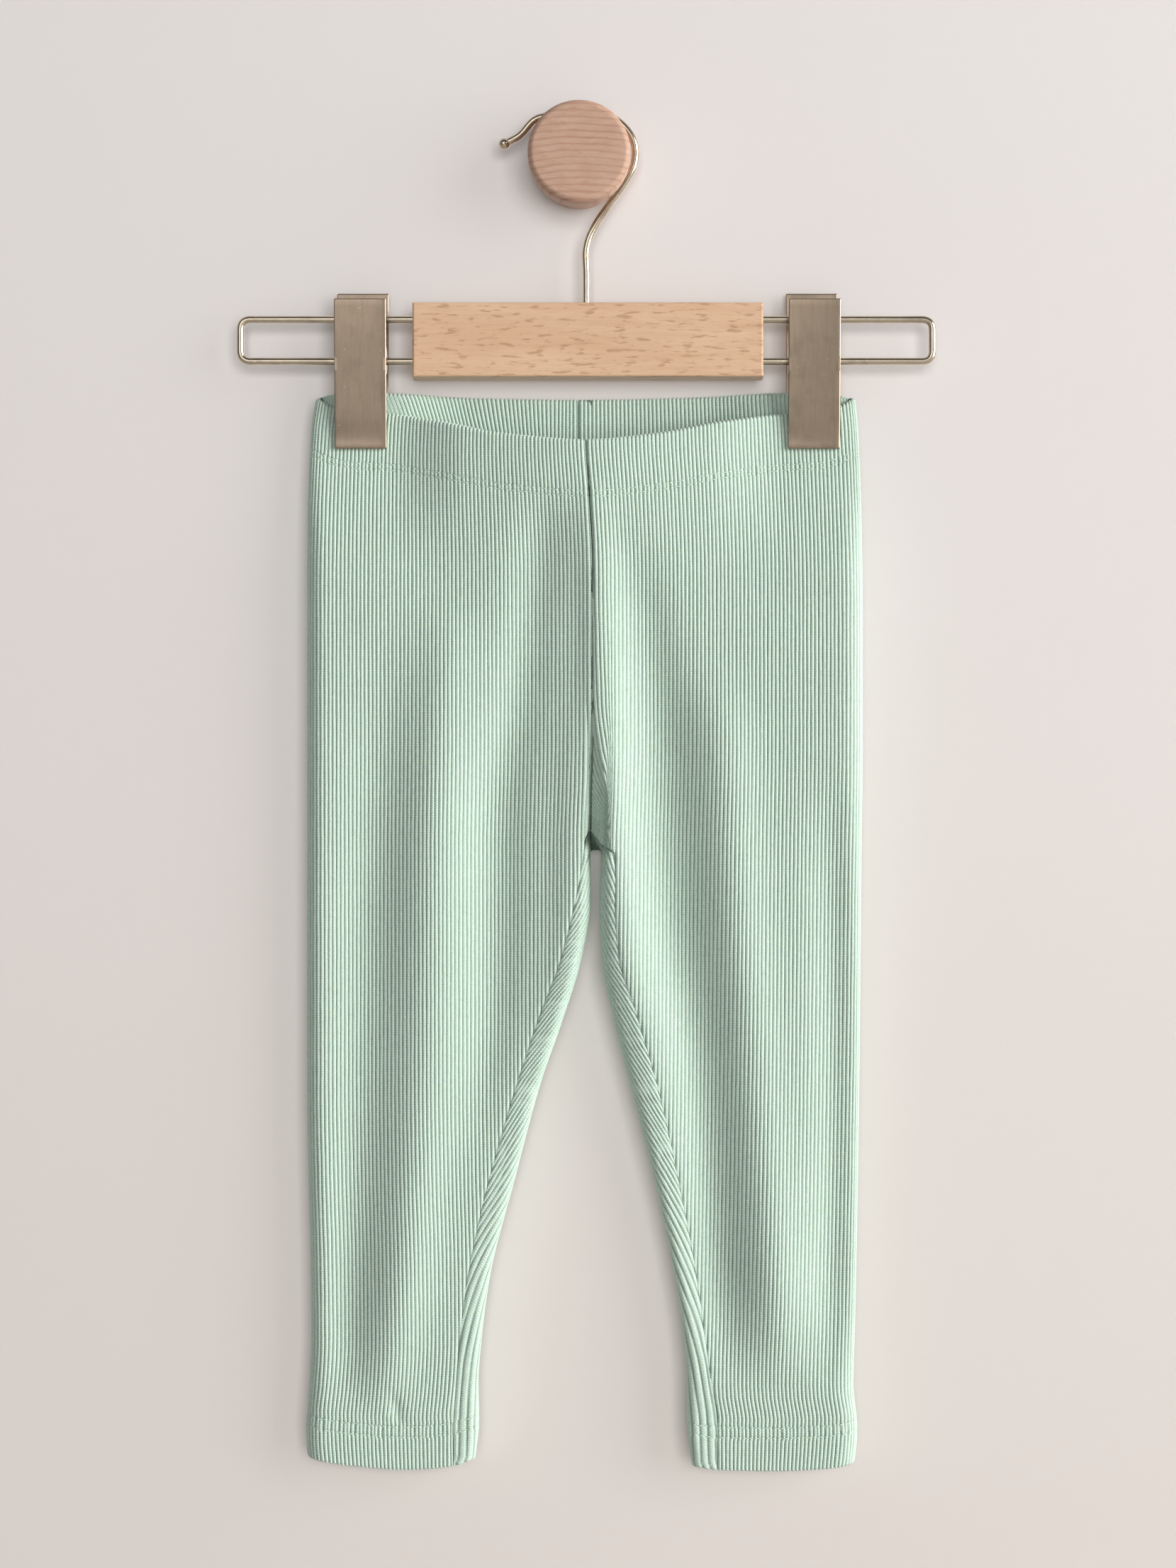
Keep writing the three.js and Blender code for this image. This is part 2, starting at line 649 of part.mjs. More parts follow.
// One end of the wire frame, out of the block and back
function endWire(side) {
  const out = side === 'right' ? -1 : 1;
  const far = side === 'right' ? FRAME.left : FRAME.right;
  const near = BLOCK.x + out * (BLOCK.width / 2 - FRAME.plug);
  const { upper, lower, bend } = FRAME;
  const at = (x, z) => new THREE.Vector3(x, HANG_Y, z);
  const path = new THREE.CurvePath();
  const corner = far - out * bend;
  path.add(new THREE.LineCurve3(at(near, upper), at(corner, upper)));
  path.add(new THREE.QuadraticBezierCurve3(at(corner, upper), at(far, upper), at(far, upper - bend)));
  path.add(new THREE.LineCurve3(at(far, upper - bend), at(far, lower + bend)));
  path.add(new THREE.QuadraticBezierCurve3(at(far, lower + bend), at(far, lower), at(corner, lower)));
  path.add(new THREE.LineCurve3(at(corner, lower), at(near, lower)));
  const places = [path.curves[0].getPoint(0)];
  path.curves.forEach((piece, i) => {
    const steps = i % 2 ? 4 : 1;
    for (let k = 1; k <= steps; k += 1) places.push(piece.getPoint(k / steps));
  });
  return wireThrough(places);
}

// A wire with a ring of points at each place along a bent line in the hanging plane
function wireThrough(places, sides = 10) {
  const vertices = [];
  const triangles = [];
  places.forEach((place, i) => {
    const ahead = places[Math.min(i + 1, places.length - 1)].clone();
    const dir = ahead.sub(places[Math.max(i - 1, 0)]).normalize();
    const across = new THREE.Vector3(-dir.z, 0, dir.x);
    for (let k = 0; k < sides; k += 1) {
      const a = (k * 2 * Math.PI) / sides;
      const offset = across.clone().multiplyScalar(WIRE_R * Math.cos(a));
      vertices.push(place.clone().add(offset).add(new THREE.Vector3(0, WIRE_R * Math.sin(a), 0)));
    }
  });
  for (let i = 0; i + 1 < places.length; i += 1) {
    for (let k = 0; k < sides; k += 1) {
      const [a, b] = [i * sides + k, i * sides + ((k + 1) % sides)];
      triangles.push(a, a + sides, b, b, a + sides, b + sides);
    }
  }
  const last = (places.length - 1) * sides;
  for (let k = 1; k + 1 < sides; k += 1) {
    triangles.push(0, k, k + 1, last, last + k + 1, last + k);
  }
  return weldedGeometry(vertices, triangles);
}

// A clip's plate in side view: heights and the y of its inner face, front or rear
function clipPlate(clipX, face) {
  const out = face === 'front' ? -1 : 1;
  const top = face === 'front' ? CLIP.frontTop : CLIP.rearTop;
  const held = CLIP_HALF_DEPTH + RIB_RISE + GAP;
  const line = [[top, 9.6], [-78, 8.8], [-92, 6.6], [-99, held + 0.1], [CLIP.jaw + 1.5, held],
    [CLIP.jaw, held + 0.5]];
  const shape = new THREE.Shape();
  line.forEach(([z, y], i) => (i ? shape.lineTo(out * y, z) : shape.moveTo(out * y, z)));
  [...line].reverse().forEach(([z, y]) => shape.lineTo(out * (y + CLIP.sheet), z));
  shape.closePath();
  const plate = sideExtrude(shape, clipX - CLIP.width / 2, CLIP.width);
  const cheek = new THREE.Shape();
  const r = CLIP.cheekR;
  cheek.absarc(0, FRAME.lower, r, -Math.PI / 2, Math.PI / 2, out > 0);
  cheek.lineTo(out * 8.4, FRAME.lower + r + 2).lineTo(out * 8.2, FRAME.lower - r + 0.5).closePath();
  const inset = face === 'front' ? 0 : CLIP.sheet + GAP;
  let solid = toSolid(plate);
  for (const end of [-1, 1]) {
    const edge = clipX + end * (CLIP.width / 2 - inset);
    const x0 = end < 0 ? edge : edge - CLIP.sheet;
    solid = solid.add(toSolid(sideExtrude(cheek, x0, CLIP.sheet)));
  }
  const pin = rodX(WIRE_R + GAP, clipX - CLIP.width, clipX + CLIP.width, FRAME.lower);
  return toGeometry(solid.subtract(toSolid(pin)));
}

// Extrudes a shape drawn as (y from the hanging plane, z) along +X from x0
function sideExtrude(shape, x0, width) {
  const geometry = new THREE.ExtrudeGeometry(shape, {
    depth: width, bevelEnabled: false, curveSegments: 8,
  });
  const turn = new THREE.Matrix4().makeBasis(
    new THREE.Vector3(0, 1, 0), new THREE.Vector3(0, 0, 1), new THREE.Vector3(1, 0, 0));
  return geometry.applyMatrix4(turn).translate(x0, HANG_Y, 0);
}

// The coiled spring on the lower wire, between the cheeks
function clipSpring(clipX) {
  const coils = 6;
  const length = CLIP.width - 4 * CLIP.sheet - 4 * GAP;
  const pitch = length / coils;
  const bore = WIRE_R + GAP;
  const points = [new THREE.Vector2(bore, 0)];
  for (let k = 0; k < coils; k += 1) {
    points.push(new THREE.Vector2(3.6, k * pitch), new THREE.Vector2(4.5, (k + 0.5) * pitch));
  }
  points.push(new THREE.Vector2(3.6, length), new THREE.Vector2(bore, length), points[0]);
  return new THREE.LatheGeometry(points, 12)
    .rotateZ(-Math.PI / 2)
    .translate(clipX - length / 2, HANG_Y, FRAME.lower);
}

// Assembly

const cloth = new THREE.MeshStandardMaterial({ color: CLOTH_COLOUR, roughness: 0.95, metalness: 0 });
const beech = new THREE.MeshStandardMaterial({ color: BEECH_COLOUR, roughness: 0.6, metalness: 0 });
const turned = new THREE.MeshStandardMaterial({ color: KNOB_COLOUR, roughness: 0.65, metalness: 0 });
const nickel = new THREE.MeshStandardMaterial({ color: NICKEL_COLOUR, roughness: 0.35, metalness: 0.9 });
const bright = new THREE.MeshStandardMaterial({ color: WIRE_COLOUR, roughness: 0.25, metalness: 0.9 });

const leggings = new THREE.Group();

function add(name, geometry, material) {
  const mesh = new THREE.Mesh(geometry, material);
  mesh.name = name;
  leggings.add(mesh);
}

add('knob', knob(), turned);
add('hook', hook(), bright);
add('block', block(), beech);

for (const side of ['right', 'left']) {
  const leg = new LegCloth(side);
  add(`waistband_${side}`, waistband(leg), cloth);
  add(`leg_${side}`, legPanel(leg), cloth);
  add(`hem_${side}`, hem(leg), cloth);
  add(`wire_${side}`, endWire(side), bright);
  add(`clip_front_${side}`, clipPlate(CLIP_X[side], 'front'), nickel);
  add(`clip_rear_${side}`, clipPlate(CLIP_X[side], 'rear'), nickel);
  add(`clip_spring_${side}`, clipSpring(CLIP_X[side]), nickel);
}

export default leggings;
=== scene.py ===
"""Looks for a toddler's ribbed leggings that hang from a clip hanger on a wall knob.

Sizes are millimetres until a mesh is made, in the CAD frame: +Z up, the front faces -Y, and
the wall is y = 0. Node names use the wearer's sides: right is at -X.
"""
import json
import math

import bmesh
import bpy
import numpy as np
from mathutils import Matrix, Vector
from mathutils.geometry import tessellate_polygon

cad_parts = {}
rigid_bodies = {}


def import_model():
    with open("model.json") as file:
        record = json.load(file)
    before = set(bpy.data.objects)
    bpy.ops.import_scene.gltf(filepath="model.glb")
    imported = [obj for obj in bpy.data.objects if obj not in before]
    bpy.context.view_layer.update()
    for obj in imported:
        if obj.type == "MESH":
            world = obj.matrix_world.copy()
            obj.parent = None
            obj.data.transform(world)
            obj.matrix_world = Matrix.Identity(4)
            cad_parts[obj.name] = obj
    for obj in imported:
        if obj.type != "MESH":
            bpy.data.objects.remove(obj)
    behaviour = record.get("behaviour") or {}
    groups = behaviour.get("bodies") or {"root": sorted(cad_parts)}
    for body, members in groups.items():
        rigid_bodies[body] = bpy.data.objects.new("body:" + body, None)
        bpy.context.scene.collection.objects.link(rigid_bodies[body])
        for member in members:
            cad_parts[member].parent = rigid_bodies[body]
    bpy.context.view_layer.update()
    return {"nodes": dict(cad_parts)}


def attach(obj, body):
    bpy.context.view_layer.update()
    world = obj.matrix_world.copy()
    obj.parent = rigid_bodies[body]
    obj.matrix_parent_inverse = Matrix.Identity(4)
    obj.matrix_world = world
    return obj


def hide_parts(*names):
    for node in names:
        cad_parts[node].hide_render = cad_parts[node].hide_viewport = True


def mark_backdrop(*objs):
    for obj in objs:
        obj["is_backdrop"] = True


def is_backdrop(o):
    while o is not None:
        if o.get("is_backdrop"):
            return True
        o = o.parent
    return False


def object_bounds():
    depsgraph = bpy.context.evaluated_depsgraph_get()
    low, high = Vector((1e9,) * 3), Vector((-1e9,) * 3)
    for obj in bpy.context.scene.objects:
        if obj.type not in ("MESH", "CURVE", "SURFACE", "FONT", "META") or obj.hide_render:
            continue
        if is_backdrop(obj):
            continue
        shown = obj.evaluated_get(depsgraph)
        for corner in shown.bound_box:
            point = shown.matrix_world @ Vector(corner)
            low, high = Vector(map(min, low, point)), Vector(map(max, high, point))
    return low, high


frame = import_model()
MM = 0.001

# Sizes shared with the part's solids

HANG_Y = -14.0
PITCH = 1.7
RISE = 0.62
WALL = 1.0
BAND_WALL = 2.4
HEM_WALL = 2.0
HALF_DEPTH = 8.0
INNER_CLEAR = 0.25
PINCH_FROM = -190.0
FLARE_FROM = -505.0
CLIP_HALF_DEPTH = 2.7
CROTCH_Z = -294.5
CROTCH_X = 4.9
CROTCH_TILT = 5.5
GAP = 0.3
SEAM_GAP = 0.05
CLIP_WIDTH = 22.4
CLIP_X = {"right": -94.2, "left": 101.35}
QUARTER = math.pi / 2 * HALF_DEPTH

# The hanger's and the knob's sizes, as in the part
WIRE_R = 1.6
BALL_R = 2.5
FRAME = {"right": -146.6, "left": 152.9, "upper": -69.3, "lower": -87.4, "bend": 4.5, "plug": 9.0}
BLOCK = {"x": 3.8, "width": 151.2, "top": -62.8, "height": 32.0, "depth": 14.0}
HOOK_X = 3.17
CHEEK_R = 5.5
SHEET = 1.2
PLATE_CROWN = 0.3
CLIP_TOP = {"front": -61.6, "rear": -56.5}
JAW = -125.7

# Rows of (z, x)
LEG_OUTLINE = {
    "right": {
        "outer": [(-104, -113.4), (-118, -115.3), (-150, -116.8), (-190, -117.1), (-400, -117.1),
                  (-441, -116.5), (-476, -115.6), (-510, -115.3), (-538, -116.8), (-550, -117.6),
                  (-567, -116.2)],
        "inner": [(-294.5, 4.75), (-300.5, 4.3), (-321, 4.4), (-345, 0.6), (-372, -7.7),
                  (-400, -17.4), (-441, -28.4), (-483, -39.1), (-510, -42.8), (-530, -44.3),
                  (-546, -44.0), (-567, -46.2)],
        "seam": [(-294.5, 4.6), (-300.5, 3.0), (-321, -1.6), (-345, -7.6), (-372, -17.6),
                 (-400, -26.9), (-441, -38.8), (-483, -48.0), (-510, -51.3), (-530, -53.2),
                 (-546, -54.0), (-567, -54.0)],
    },
    "left": {
        "outer": [(-104, 119.0), (-118, 120.2), (-150, 121.5), (-200, 122.1), (-250, 122.1),
                  (-310, 121.5), (-386, 120.8), (-455, 119.8), (-500, 118.9), (-530, 118.1),
                  (-549, 119.8), (-567, 118.2)],
        "inner": [(-294.5, 5.05), (-300.5, 10.2), (-321, 9.6), (-345, 10.4), (-372, 15.6),
                  (-400, 22.7), (-441, 33.1), (-483, 41.9), (-510, 46.0), (-530, 47.4),
                  (-546, 47.4), (-567, 49.6)],
        "seam": [(-294.5, 5.2), (-300.5, 11.8), (-321, 13.2), (-345, 17.0), (-372, 25.6),
                 (-400, 33.7), (-441, 42.8), (-483, 50.6), (-510, 54.4), (-530, 57.4),
                 (-546, 59.4), (-567, 59.6)],
    },
}
FRONT_SEAM = [(-100, 2.6), (-123, 2.8), (-145, 4.3), (-180, 5.9), (-250, 6.0), (-294.5, 4.9)]
BACK_SEAM = [(-100, -0.5), (-150, -0.4), (-220, 1.2), (-294.5, 4.9)]

# Rows of (x, z)
FRONT_EDGE = [(-115.5, -104), (-106, -108.2), (-95, -110.2), (-83, -110.7), (-60, -114.6),
              (-30, -120.4), (3, -123.1), (32, -120.4), (62, -114.6), (90, -110.7),
              (102, -110.2), (111, -108.2), (120.3, -104)]
BACK_EDGE = [(-115.5, -104), (-106, -102.2), (-83, -101.4), (-40, -103.0), (0, -103.7),
             (42, -103.0), (90, -101.4), (111, -102.2), (120.3, -104)]
HEM_EDGE = [(-118, -560.8), (-100, -563.6), (-75, -565.5), (-55, -564), (-45, -561.4),
            (47, -564.2), (62, -565.6), (85, -566.0), (105, -565.2), (121, -563.2)]

# Soft creases: face, and rows of (z, x, half width, rise), with troughs negative
CREASES = [
    ("front", [(-190, -55, 11, 0), (-225, -57, 12, 2.0), (-296, -62, 13, 2.9), (-387, -65, 13, 2.8),
               (-475, -74, 12, 3.3), (-525, -81, 10, 1.6), (-545, -84, 9, 0)]),
    ("front", [(-200, -84, 12, 0), (-260, -87, 13, -1.8), (-330, -91, 13, -3.1), (-430, -95, 11, -2.4),
               (-500, -99, 9, -2.3), (-540, -101, 8, 0)]),
    ("front", [(-140, -14, 9, 0), (-171, -17, 10, -2.0), (-229, -24, 11, -2.8), (-290, -35, 13, -3.9),
               (-350, -36, 12, -3.5), (-400, -41, 10, -1.6), (-440, -45, 9, 0)]),
    ("front", [(-135, 6, 7, 0), (-177, 8.5, 8, 2.2), (-226, 11, 9, 3.6), (-287, 14.5, 9, 4.6),
               (-342, 20, 10, 4.3), (-384, 29, 11, 3.2), (-430, 37, 10, 1.2), (-470, 43, 9, 0)]),
    ("front", [(-160, 22, 9, 0), (-190, 27, 10, -1.8), (-250, 35, 12, -3.5), (-330, 43, 12, -4.0),
               (-390, 53, 11, -3.1), (-479, 60, 10, -3.2), (-530, 65, 9, 0)]),
    ("front", [(-215, 58, 11, 0), (-256, 63, 12, 2.4), (-330, 69, 12, 3.2), (-403, 77, 12, 2.8),
               (-479, 84, 11, 3.4), (-530, 87, 9, 0)]),
    ("front", [(-260, 108, 10, 0), (-330, 110, 10, -2.8), (-420, 111, 10, -3.3), (-480, 110, 10, -3.5),
               (-535, 109, 9, 0)]),
    ("front", [(-205, 1, 8, 0), (-260, -1, 8, 1.6), (-320, -2, 9, 2.4), (-352, -5, 9, 1.8),
               (-400, -19, 8, 0)]),
    ("front", [(-532, -80.5, 3, 0), (-538, -79, 3, -0.9), (-543, -77.5, 2.5, -0.6), (-547, -77, 2.5, 0)]),
    ("back", [(-150, -74, 12, 0), (-200, -76, 13, -2.6), (-300, -70, 14, -3.0), (-400, -64, 12, -2.2),
              (-480, -61, 10, 0)]),
    ("back", [(-180, -44, 11, 0), (-240, -41, 12, 2.6), (-320, -36, 12, 3.0), (-380, -32, 10, 0)]),
    ("back", [(-270, -98, 10, 0), (-340, -96, 11, 2.2), (-450, -93, 11, 2.4), (-530, -90, 9, 0)]),
    ("back", [(-170, 38, 12, 0), (-230, 41, 13, -3.0), (-320, 44, 13, -2.6), (-400, 46, 11, 0)]),
    ("back", [(-160, 73, 12, 0), (-220, 76, 13, 2.4), (-330, 82, 13, 2.8), (-440, 88, 11, 0)]),
    ("back", [(-310, 105, 10, 0), (-380, 101, 11, -2.0), (-460, 96, 11, -2.4), (-530, 91, 9, 0)]),
]

CREASE_DEPTH = 1.36
# The front beside the crotch, pushed in between the centre seam and the next fold
RECESS = 5.6
# Ribs that slant where the cloth turns forward beside the crotch: rows of (z, shift)
STRIP_SLANT = [(-200, 0), (-250, 6), (-298, 12), (-330, 2), (-362, -9), (-420, -14), (-470, -17),
               (-560, -18)]
FAN_SLANT = [(-190, 0), (-235, 1.2), (-255, 3.6), (-266, 6.8), (-275, 11.2), (-285, 18.5), (-299, 30),
             (-312, 39)]

# Across one rib: share of the pitch, and height
RIB = [(0.0, 0.0), (0.15, 0.66), (0.35, 1.0), (0.65, 1.0), (0.85, 0.66)]

# Lean of the ribs inside the back of the band: rows of (s, shift at the top edge)
BAND_LEAN = [(0, 0), (14, 3), (36, 11), (56, 9.6), (80, 6.9), (96, 3.6), (110, 1.4), (117, 0)]

# Twin rows of stitches: below the waist's top edge, and above the hem's lower edge
WAIST_ROWS = (21.6, 23.9)
HEM_ROWS = (13.9, 18.3)


# Small maths

def smooth(t):
    c = np.clip(t, 0.0, 1.0)
    return c * c * (3 - 2 * c)


def mix(a, b, t):
    return a + (b - a) * t


def curve(table, key):
    """Smooth curve through rows of (key, value), for an array of keys."""
    rows = np.array(sorted(table), float)
    k, v = rows[:, 0], rows[:, 1]
    slope = np.diff(v) / np.diff(k)
    ends = np.concatenate([slope[:1], np.zeros(len(k) - 2), slope[-1:]])
    a, b = slope[:-1], slope[1:]
    with np.errstate(divide="ignore", invalid="ignore"):
        ends[1:-1] = np.where(a * b <= 0, 0, 2 * a * b / (a + b))
    x = np.clip(key, k[0], k[-1])
    i = np.clip(np.searchsorted(k, x) - 1, 0, len(k) - 2)
    span = k[i + 1] - k[i]
    t = (x - k[i]) / span
    t2, t3 = t * t, t * t * t
    return ((2 * t3 - 3 * t2 + 1) * v[i] + (t3 - 2 * t2 + t) * span * ends[i]
            + (3 * t2 - 2 * t3) * v[i + 1] + (t3 - t2) * span * ends[i + 1])


def unit(v):
    return v / np.maximum(np.linalg.norm(v, axis=-1, keepdims=True), 1e-12)


# Meshes

def seam_edges(triangles, group, count):
    """Pairs of points, as one number each, where triangles of different groups meet."""
    pairs = np.concatenate([triangles[:, [0, 1]], triangles[:, [1, 2]], triangles[:, [2, 0]]])
    pairs.sort(axis=1)
    key = pairs[:, 0].astype(np.int64) * count + pairs[:, 1]
    owner = np.tile(group, 3)
    order = np.argsort(key, kind="stable")
    key, owner = key[order], owner[order]
    return np.unique(key[:-1][(key[:-1] == key[1:]) & (owner[:-1] != owner[1:])])


def make_object(name, points, triangles, uv=None, rib=None, flat=False, sharp=60.0, group=None):
    """A mesh object from points in millimetres."""
    mesh = bpy.data.meshes.new(name)
    triangles = np.asarray(triangles, np.int32).reshape(-1, 3)
    count = len(triangles)
    mesh.vertices.add(len(points))
    mesh.vertices.foreach_set("co", (np.asarray(points) * MM).astype(np.float32).ravel())
    mesh.loops.add(3 * count)
    mesh.loops.foreach_set("vertex_index", triangles.ravel())
    mesh.polygons.add(count)
    mesh.polygons.foreach_set("loop_start", np.arange(0, 3 * count, 3, dtype=np.int32))
    mesh.polygons.foreach_set("loop_total", np.full(count, 3, np.int32))
    if uv is not None:
        layer = mesh.uv_layers.new(name="cloth")
        layer.data.foreach_set("uv", np.asarray(uv, np.float32)[triangles.ravel()].ravel())
    if rib is not None:
        attribute = mesh.attributes.new("rib", "FLOAT", "POINT")
        attribute.data.foreach_set("value", np.asarray(rib, np.float32))
    mesh.update(calc_edges=True)
    mesh.validate()
    mesh.polygons.foreach_set("use_smooth", np.full(len(mesh.polygons), not flat))
    if group is not None:
        found = seam_edges(triangles, np.asarray(group), len(points))
        ends = np.empty(2 * len(mesh.edges), np.int32)
        mesh.edges.foreach_get("vertices", ends)
        ends = np.sort(ends.reshape(-1, 2), axis=1).astype(np.int64)
        hard = np.isin(ends[:, 0] * len(points) + ends[:, 1], found)
        mesh.edges.foreach_set("use_edge_sharp", hard)
    elif not flat:
        mesh.set_sharp_from_angle(angle=math.radians(sharp))
    obj = bpy.data.objects.new(name, mesh)
    bpy.context.scene.collection.objects.link(obj)
    return obj


# Cloth

def clip_pinch(x, z):
    """One where a clip presses the cloth flat, fading to zero round it."""
    pinch = np.zeros_like(x)
    for clip_x in CLIP_X.values():
        pinch = np.maximum(pinch, 1 - smooth((np.abs(x - clip_x) - CLIP_WIDTH / 2 - 1) / 34))
    return pinch * smooth((z + 184) / 54)


def crease_rise(face, x, z):
    """How far the creases of one face move the cloth outwards."""
    rise = np.zeros_like(x)
    for on, rows in CREASES:
        if on != face:
            continue
        middle, half, height = (curve([(r[0], r[k]) for r in rows], z) for k in (1, 2, 3))
        rise += CREASE_DEPTH * height * np.exp(-((x - middle) / half) ** 2)
    return rise


def recess(x, z):
    """How far the front is pushed in beside the crotch, right of the centre seam."""
    edge = mix(7.4, 12.8, smooth((-z - 232) / 52))
    across = smooth((x - 2.6) / 1.7) * smooth((edge - x) / 2.6)
    return RECESS * across * smooth((-z - 232) / 58) * smooth((z + 312) / 10)


def depth_at(front, x, z):
    """The cloth's distance from the hanging plane."""
    base = HALF_DEPTH * mix(1, 0.88, smooth((-z - 440) / 100))
    crease = np.where(front, crease_rise("front", x, z), crease_rise("back", x, z))
    depth = mix(base, CLIP_HALF_DEPTH, clip_pinch(x, z)) + crease
    across = np.cos(np.minimum(1, np.abs(x - CROTCH_X) / 84) * math.pi / 2) ** 2
    belly = 7.5 * across * smooth((z + 235) / 105)
    return depth + np.where(front, belly - recess(x, z), 0)


class LegCloth:
    """One leg's cloth, laid out by s: the distance round the body from the hip fold, below
    zero on the front and above zero on the back, where it also runs round between the legs."""

    def __init__(self, side):
        self.side = side
        self.inward = 1 if side == "right" else -1
        self.outline = LEG_OUTLINE[side]
        self.front_limit = self.flat_length(self.width(True, CROTCH_Z))
        self.back_limit = self.flat_length(self.width(False, CROTCH_Z))
        self.seam_limits()

    def outer(self, z):
        return curve(self.outline["outer"], z)

    def width(self, front, z):
        seam = np.where(front, curve(FRONT_SEAM, z), curve(BACK_SEAM, z))
        return np.abs(seam - self.outer(z)) - GAP / 2

    def flat_length(self, width):
        return float(QUARTER + width - HALF_DEPTH)

    def inner_radius(self, z):
        return mix(1.8, 3.8, smooth((CROTCH_Z - z) / 22))

    def half_round(self, z):
        r = self.inner_radius(z)
        width = np.abs(curve(self.outline["inner"], z) - self.outer(z))
        return QUARTER + width - HALF_DEPTH - r + math.pi / 2 * r + HALF_DEPTH - r

    def strip_length(self, z):
        r = self.inner_radius(z)
        across = np.abs(curve(self.outline["seam"], z) - curve(self.outline["inner"], z))
        bent = r * np.arccos(np.clip(1 - across / r, -1, 1))
        corner = np.where(across < r, bent, math.pi / 2 * r + across - r)
        return HALF_DEPTH - r + corner

    def seam_limits(self):
        """How far front and back reach, every half millimetre below the crotch."""
        z = np.arange(CROTCH_Z, -570.01, -0.5)
        half = self.half_round(z)
        seam = half + self.strip_length(z)
        back = seam.copy()
        low = np.where(z < -318, back, -1e9)
        peak = int(low.argmax())
        most = low[peak]
        rising = back[0] < most
        for i in range(1, peak):
            before = back[i - 1]
            back[i] = max(back[i], before + 1e-4) if rising else min(max(back[i], most), before)
        for i in range(peak + 1, len(z)):
            back[i] = min(back[i], back[i - 1] - 1e-4)
        flared = z < FLARE_FROM
        front_seam = 2 * half - np.where(flared, seam, back)
        front = front_seam.copy()
        for i in range(1, len(z)):
            front[i] = min(front[i], front[i - 1] - 1e-4)
        corner = 0.5 * (1 - smooth((CROTCH_Z - z - 5) / 8))
        level = [i for i in range(1, len(z)) if back[i] == back[i - 1]]
        self.z = z
        self.front = front - SEAM_GAP - corner
        self.back = back - SEAM_GAP
        self.front_stretch = np.where(flared, (front_seam - SEAM_GAP) / self.front, 1)
        self.back_stretch = np.where(flared, (seam - SEAM_GAP) / self.back, 1)
        self.peak = peak
        self.widest = float(self.back.max())
        self.shelf = (float(self.back[level[0]]), float(z[level[0]])) if level else None

    def reach(self, front, z):
        """The seam's distance from the hip fold at a height, front or back."""
        below = np.interp(-z, -self.z, self.front if front else self.back)
        return np.where(z > CROTCH_Z, self.front_limit if front else self.back_limit, below)

    def cut_below(self, s):
        """Height where the seam crosses column s, seen from below."""
        values = self.front if s < 0 else self.back
        far = abs(s)
        over = np.nonzero((values[:-1] >= far) & (values[1:] < far))[0]
        if len(over) == 0:
            return CROTCH_Z if far > values[0] else -1e9
        i = over[-1]
        return float(mix(self.z[i], self.z[i + 1], (values[i] - far) / (values[i] - values[i + 1])))

    def cut_above(self, s):
        """Height where the strip's edge crosses column s, seen from above."""
        values = self.back
        under = np.nonzero((values[:-1] < s) & (values[1:] >= s))[0]
        if len(under) == 0:
            return CROTCH_Z
        i = under[0]
        return float(mix(self.z[i], self.z[i + 1], (s - values[i]) / (values[i + 1] - values[i])))

    def place(self, s, z, joined=None):
        """Points of the middle surface, under the ribs' grooves."""
        s, z = np.broadcast_arrays(np.asarray(s, float), np.asarray(z, float))
        if joined is None:
            joined = (z >= CROTCH_Z) & (np.abs(s) <= self.back_limit + 0.01)
        front = s < 0
        stretch = np.where(front, np.interp(-z, -self.z, self.front_stretch),
                           np.interp(-z, -self.z, self.back_stretch))
        reach = np.abs(s) * stretch
        inwards = HALF_DEPTH * (1 - np.cos(reach / HALF_DEPTH))
        profile = np.sin(np.minimum(reach / HALF_DEPTH, math.pi / 2))
        past = reach >= QUARTER
        # Above the crotch the cloth spreads evenly to the centre seam.
        limit = np.where(front, self.front_limit, self.back_limit)
        share = (reach - QUARTER) / (limit - QUARTER)
        upper = past & joined
        inwards = np.where(upper, mix(HALF_DEPTH, self.width(front, z), share), inwards)
        # Below it, it runs straight to the fold between the legs, round it, and on.
        r = self.inner_radius(z)
        width = np.abs(curve(self.outline["inner"], z) - self.outer(z))
        left = self.half_round(z) - reach
        before = np.abs(left)
        straight = HALF_DEPTH - r
        bend = np.clip((before - straight) / r, 0, math.pi / 2)
        on_side = before < straight
        round_in = np.where(on_side, width, width - r * (1 - np.cos(bend)))
        round_profile = np.where(on_side, before, straight + r * np.sin(bend)) / HALF_DEPTH
        beyond = before - straight > math.pi / 2 * r
        tube = past & ~joined
        flat_in = width - r - (before - straight - math.pi / 2 * r)
        inwards = np.where(tube, np.where(beyond, flat_in, round_in), inwards)
        profile = np.where(tube, np.where(beyond, 1, round_profile), profile)
        front = np.where(tube & (left < 0), True, front)
        x = self.outer(z) + self.inward * inwards
        depth = depth_at(front, x, z) * profile
        y = HANG_Y + np.where(front, -depth, depth)
        near = smooth(1 - np.abs(z - CROTCH_Z) / 26)
        beside = np.where(x > CROTCH_X, 1 - (x - CROTCH_X) / 5.4, 1 - (CROTCH_X - x) / 16)
        tilt = CROTCH_TILT * near * np.maximum(0, beside) * ((HANG_Y - y) / HALF_DEPTH)
        return np.stack([x, y, z + tilt], axis=-1)

    def surface(self, s, z):
        """Points of the middle surface and their outward normals."""
        s, z = np.broadcast_arrays(np.asarray(s, float), np.asarray(z, float))
        joined = (z >= CROTCH_Z) & (np.abs(s) <= self.back_limit + 0.01)
        at = self.place(s, z, joined)
        across = self.place(s + 0.4, z, joined) - self.place(s - 0.4, z, joined)
        along = self.place(s, np.where(joined, z + 0.8, z - 0.8), joined) - at
        normal = np.where(joined[..., None], np.cross(across, along), np.cross(along, across))
        return at, unit(normal) * -self.inward

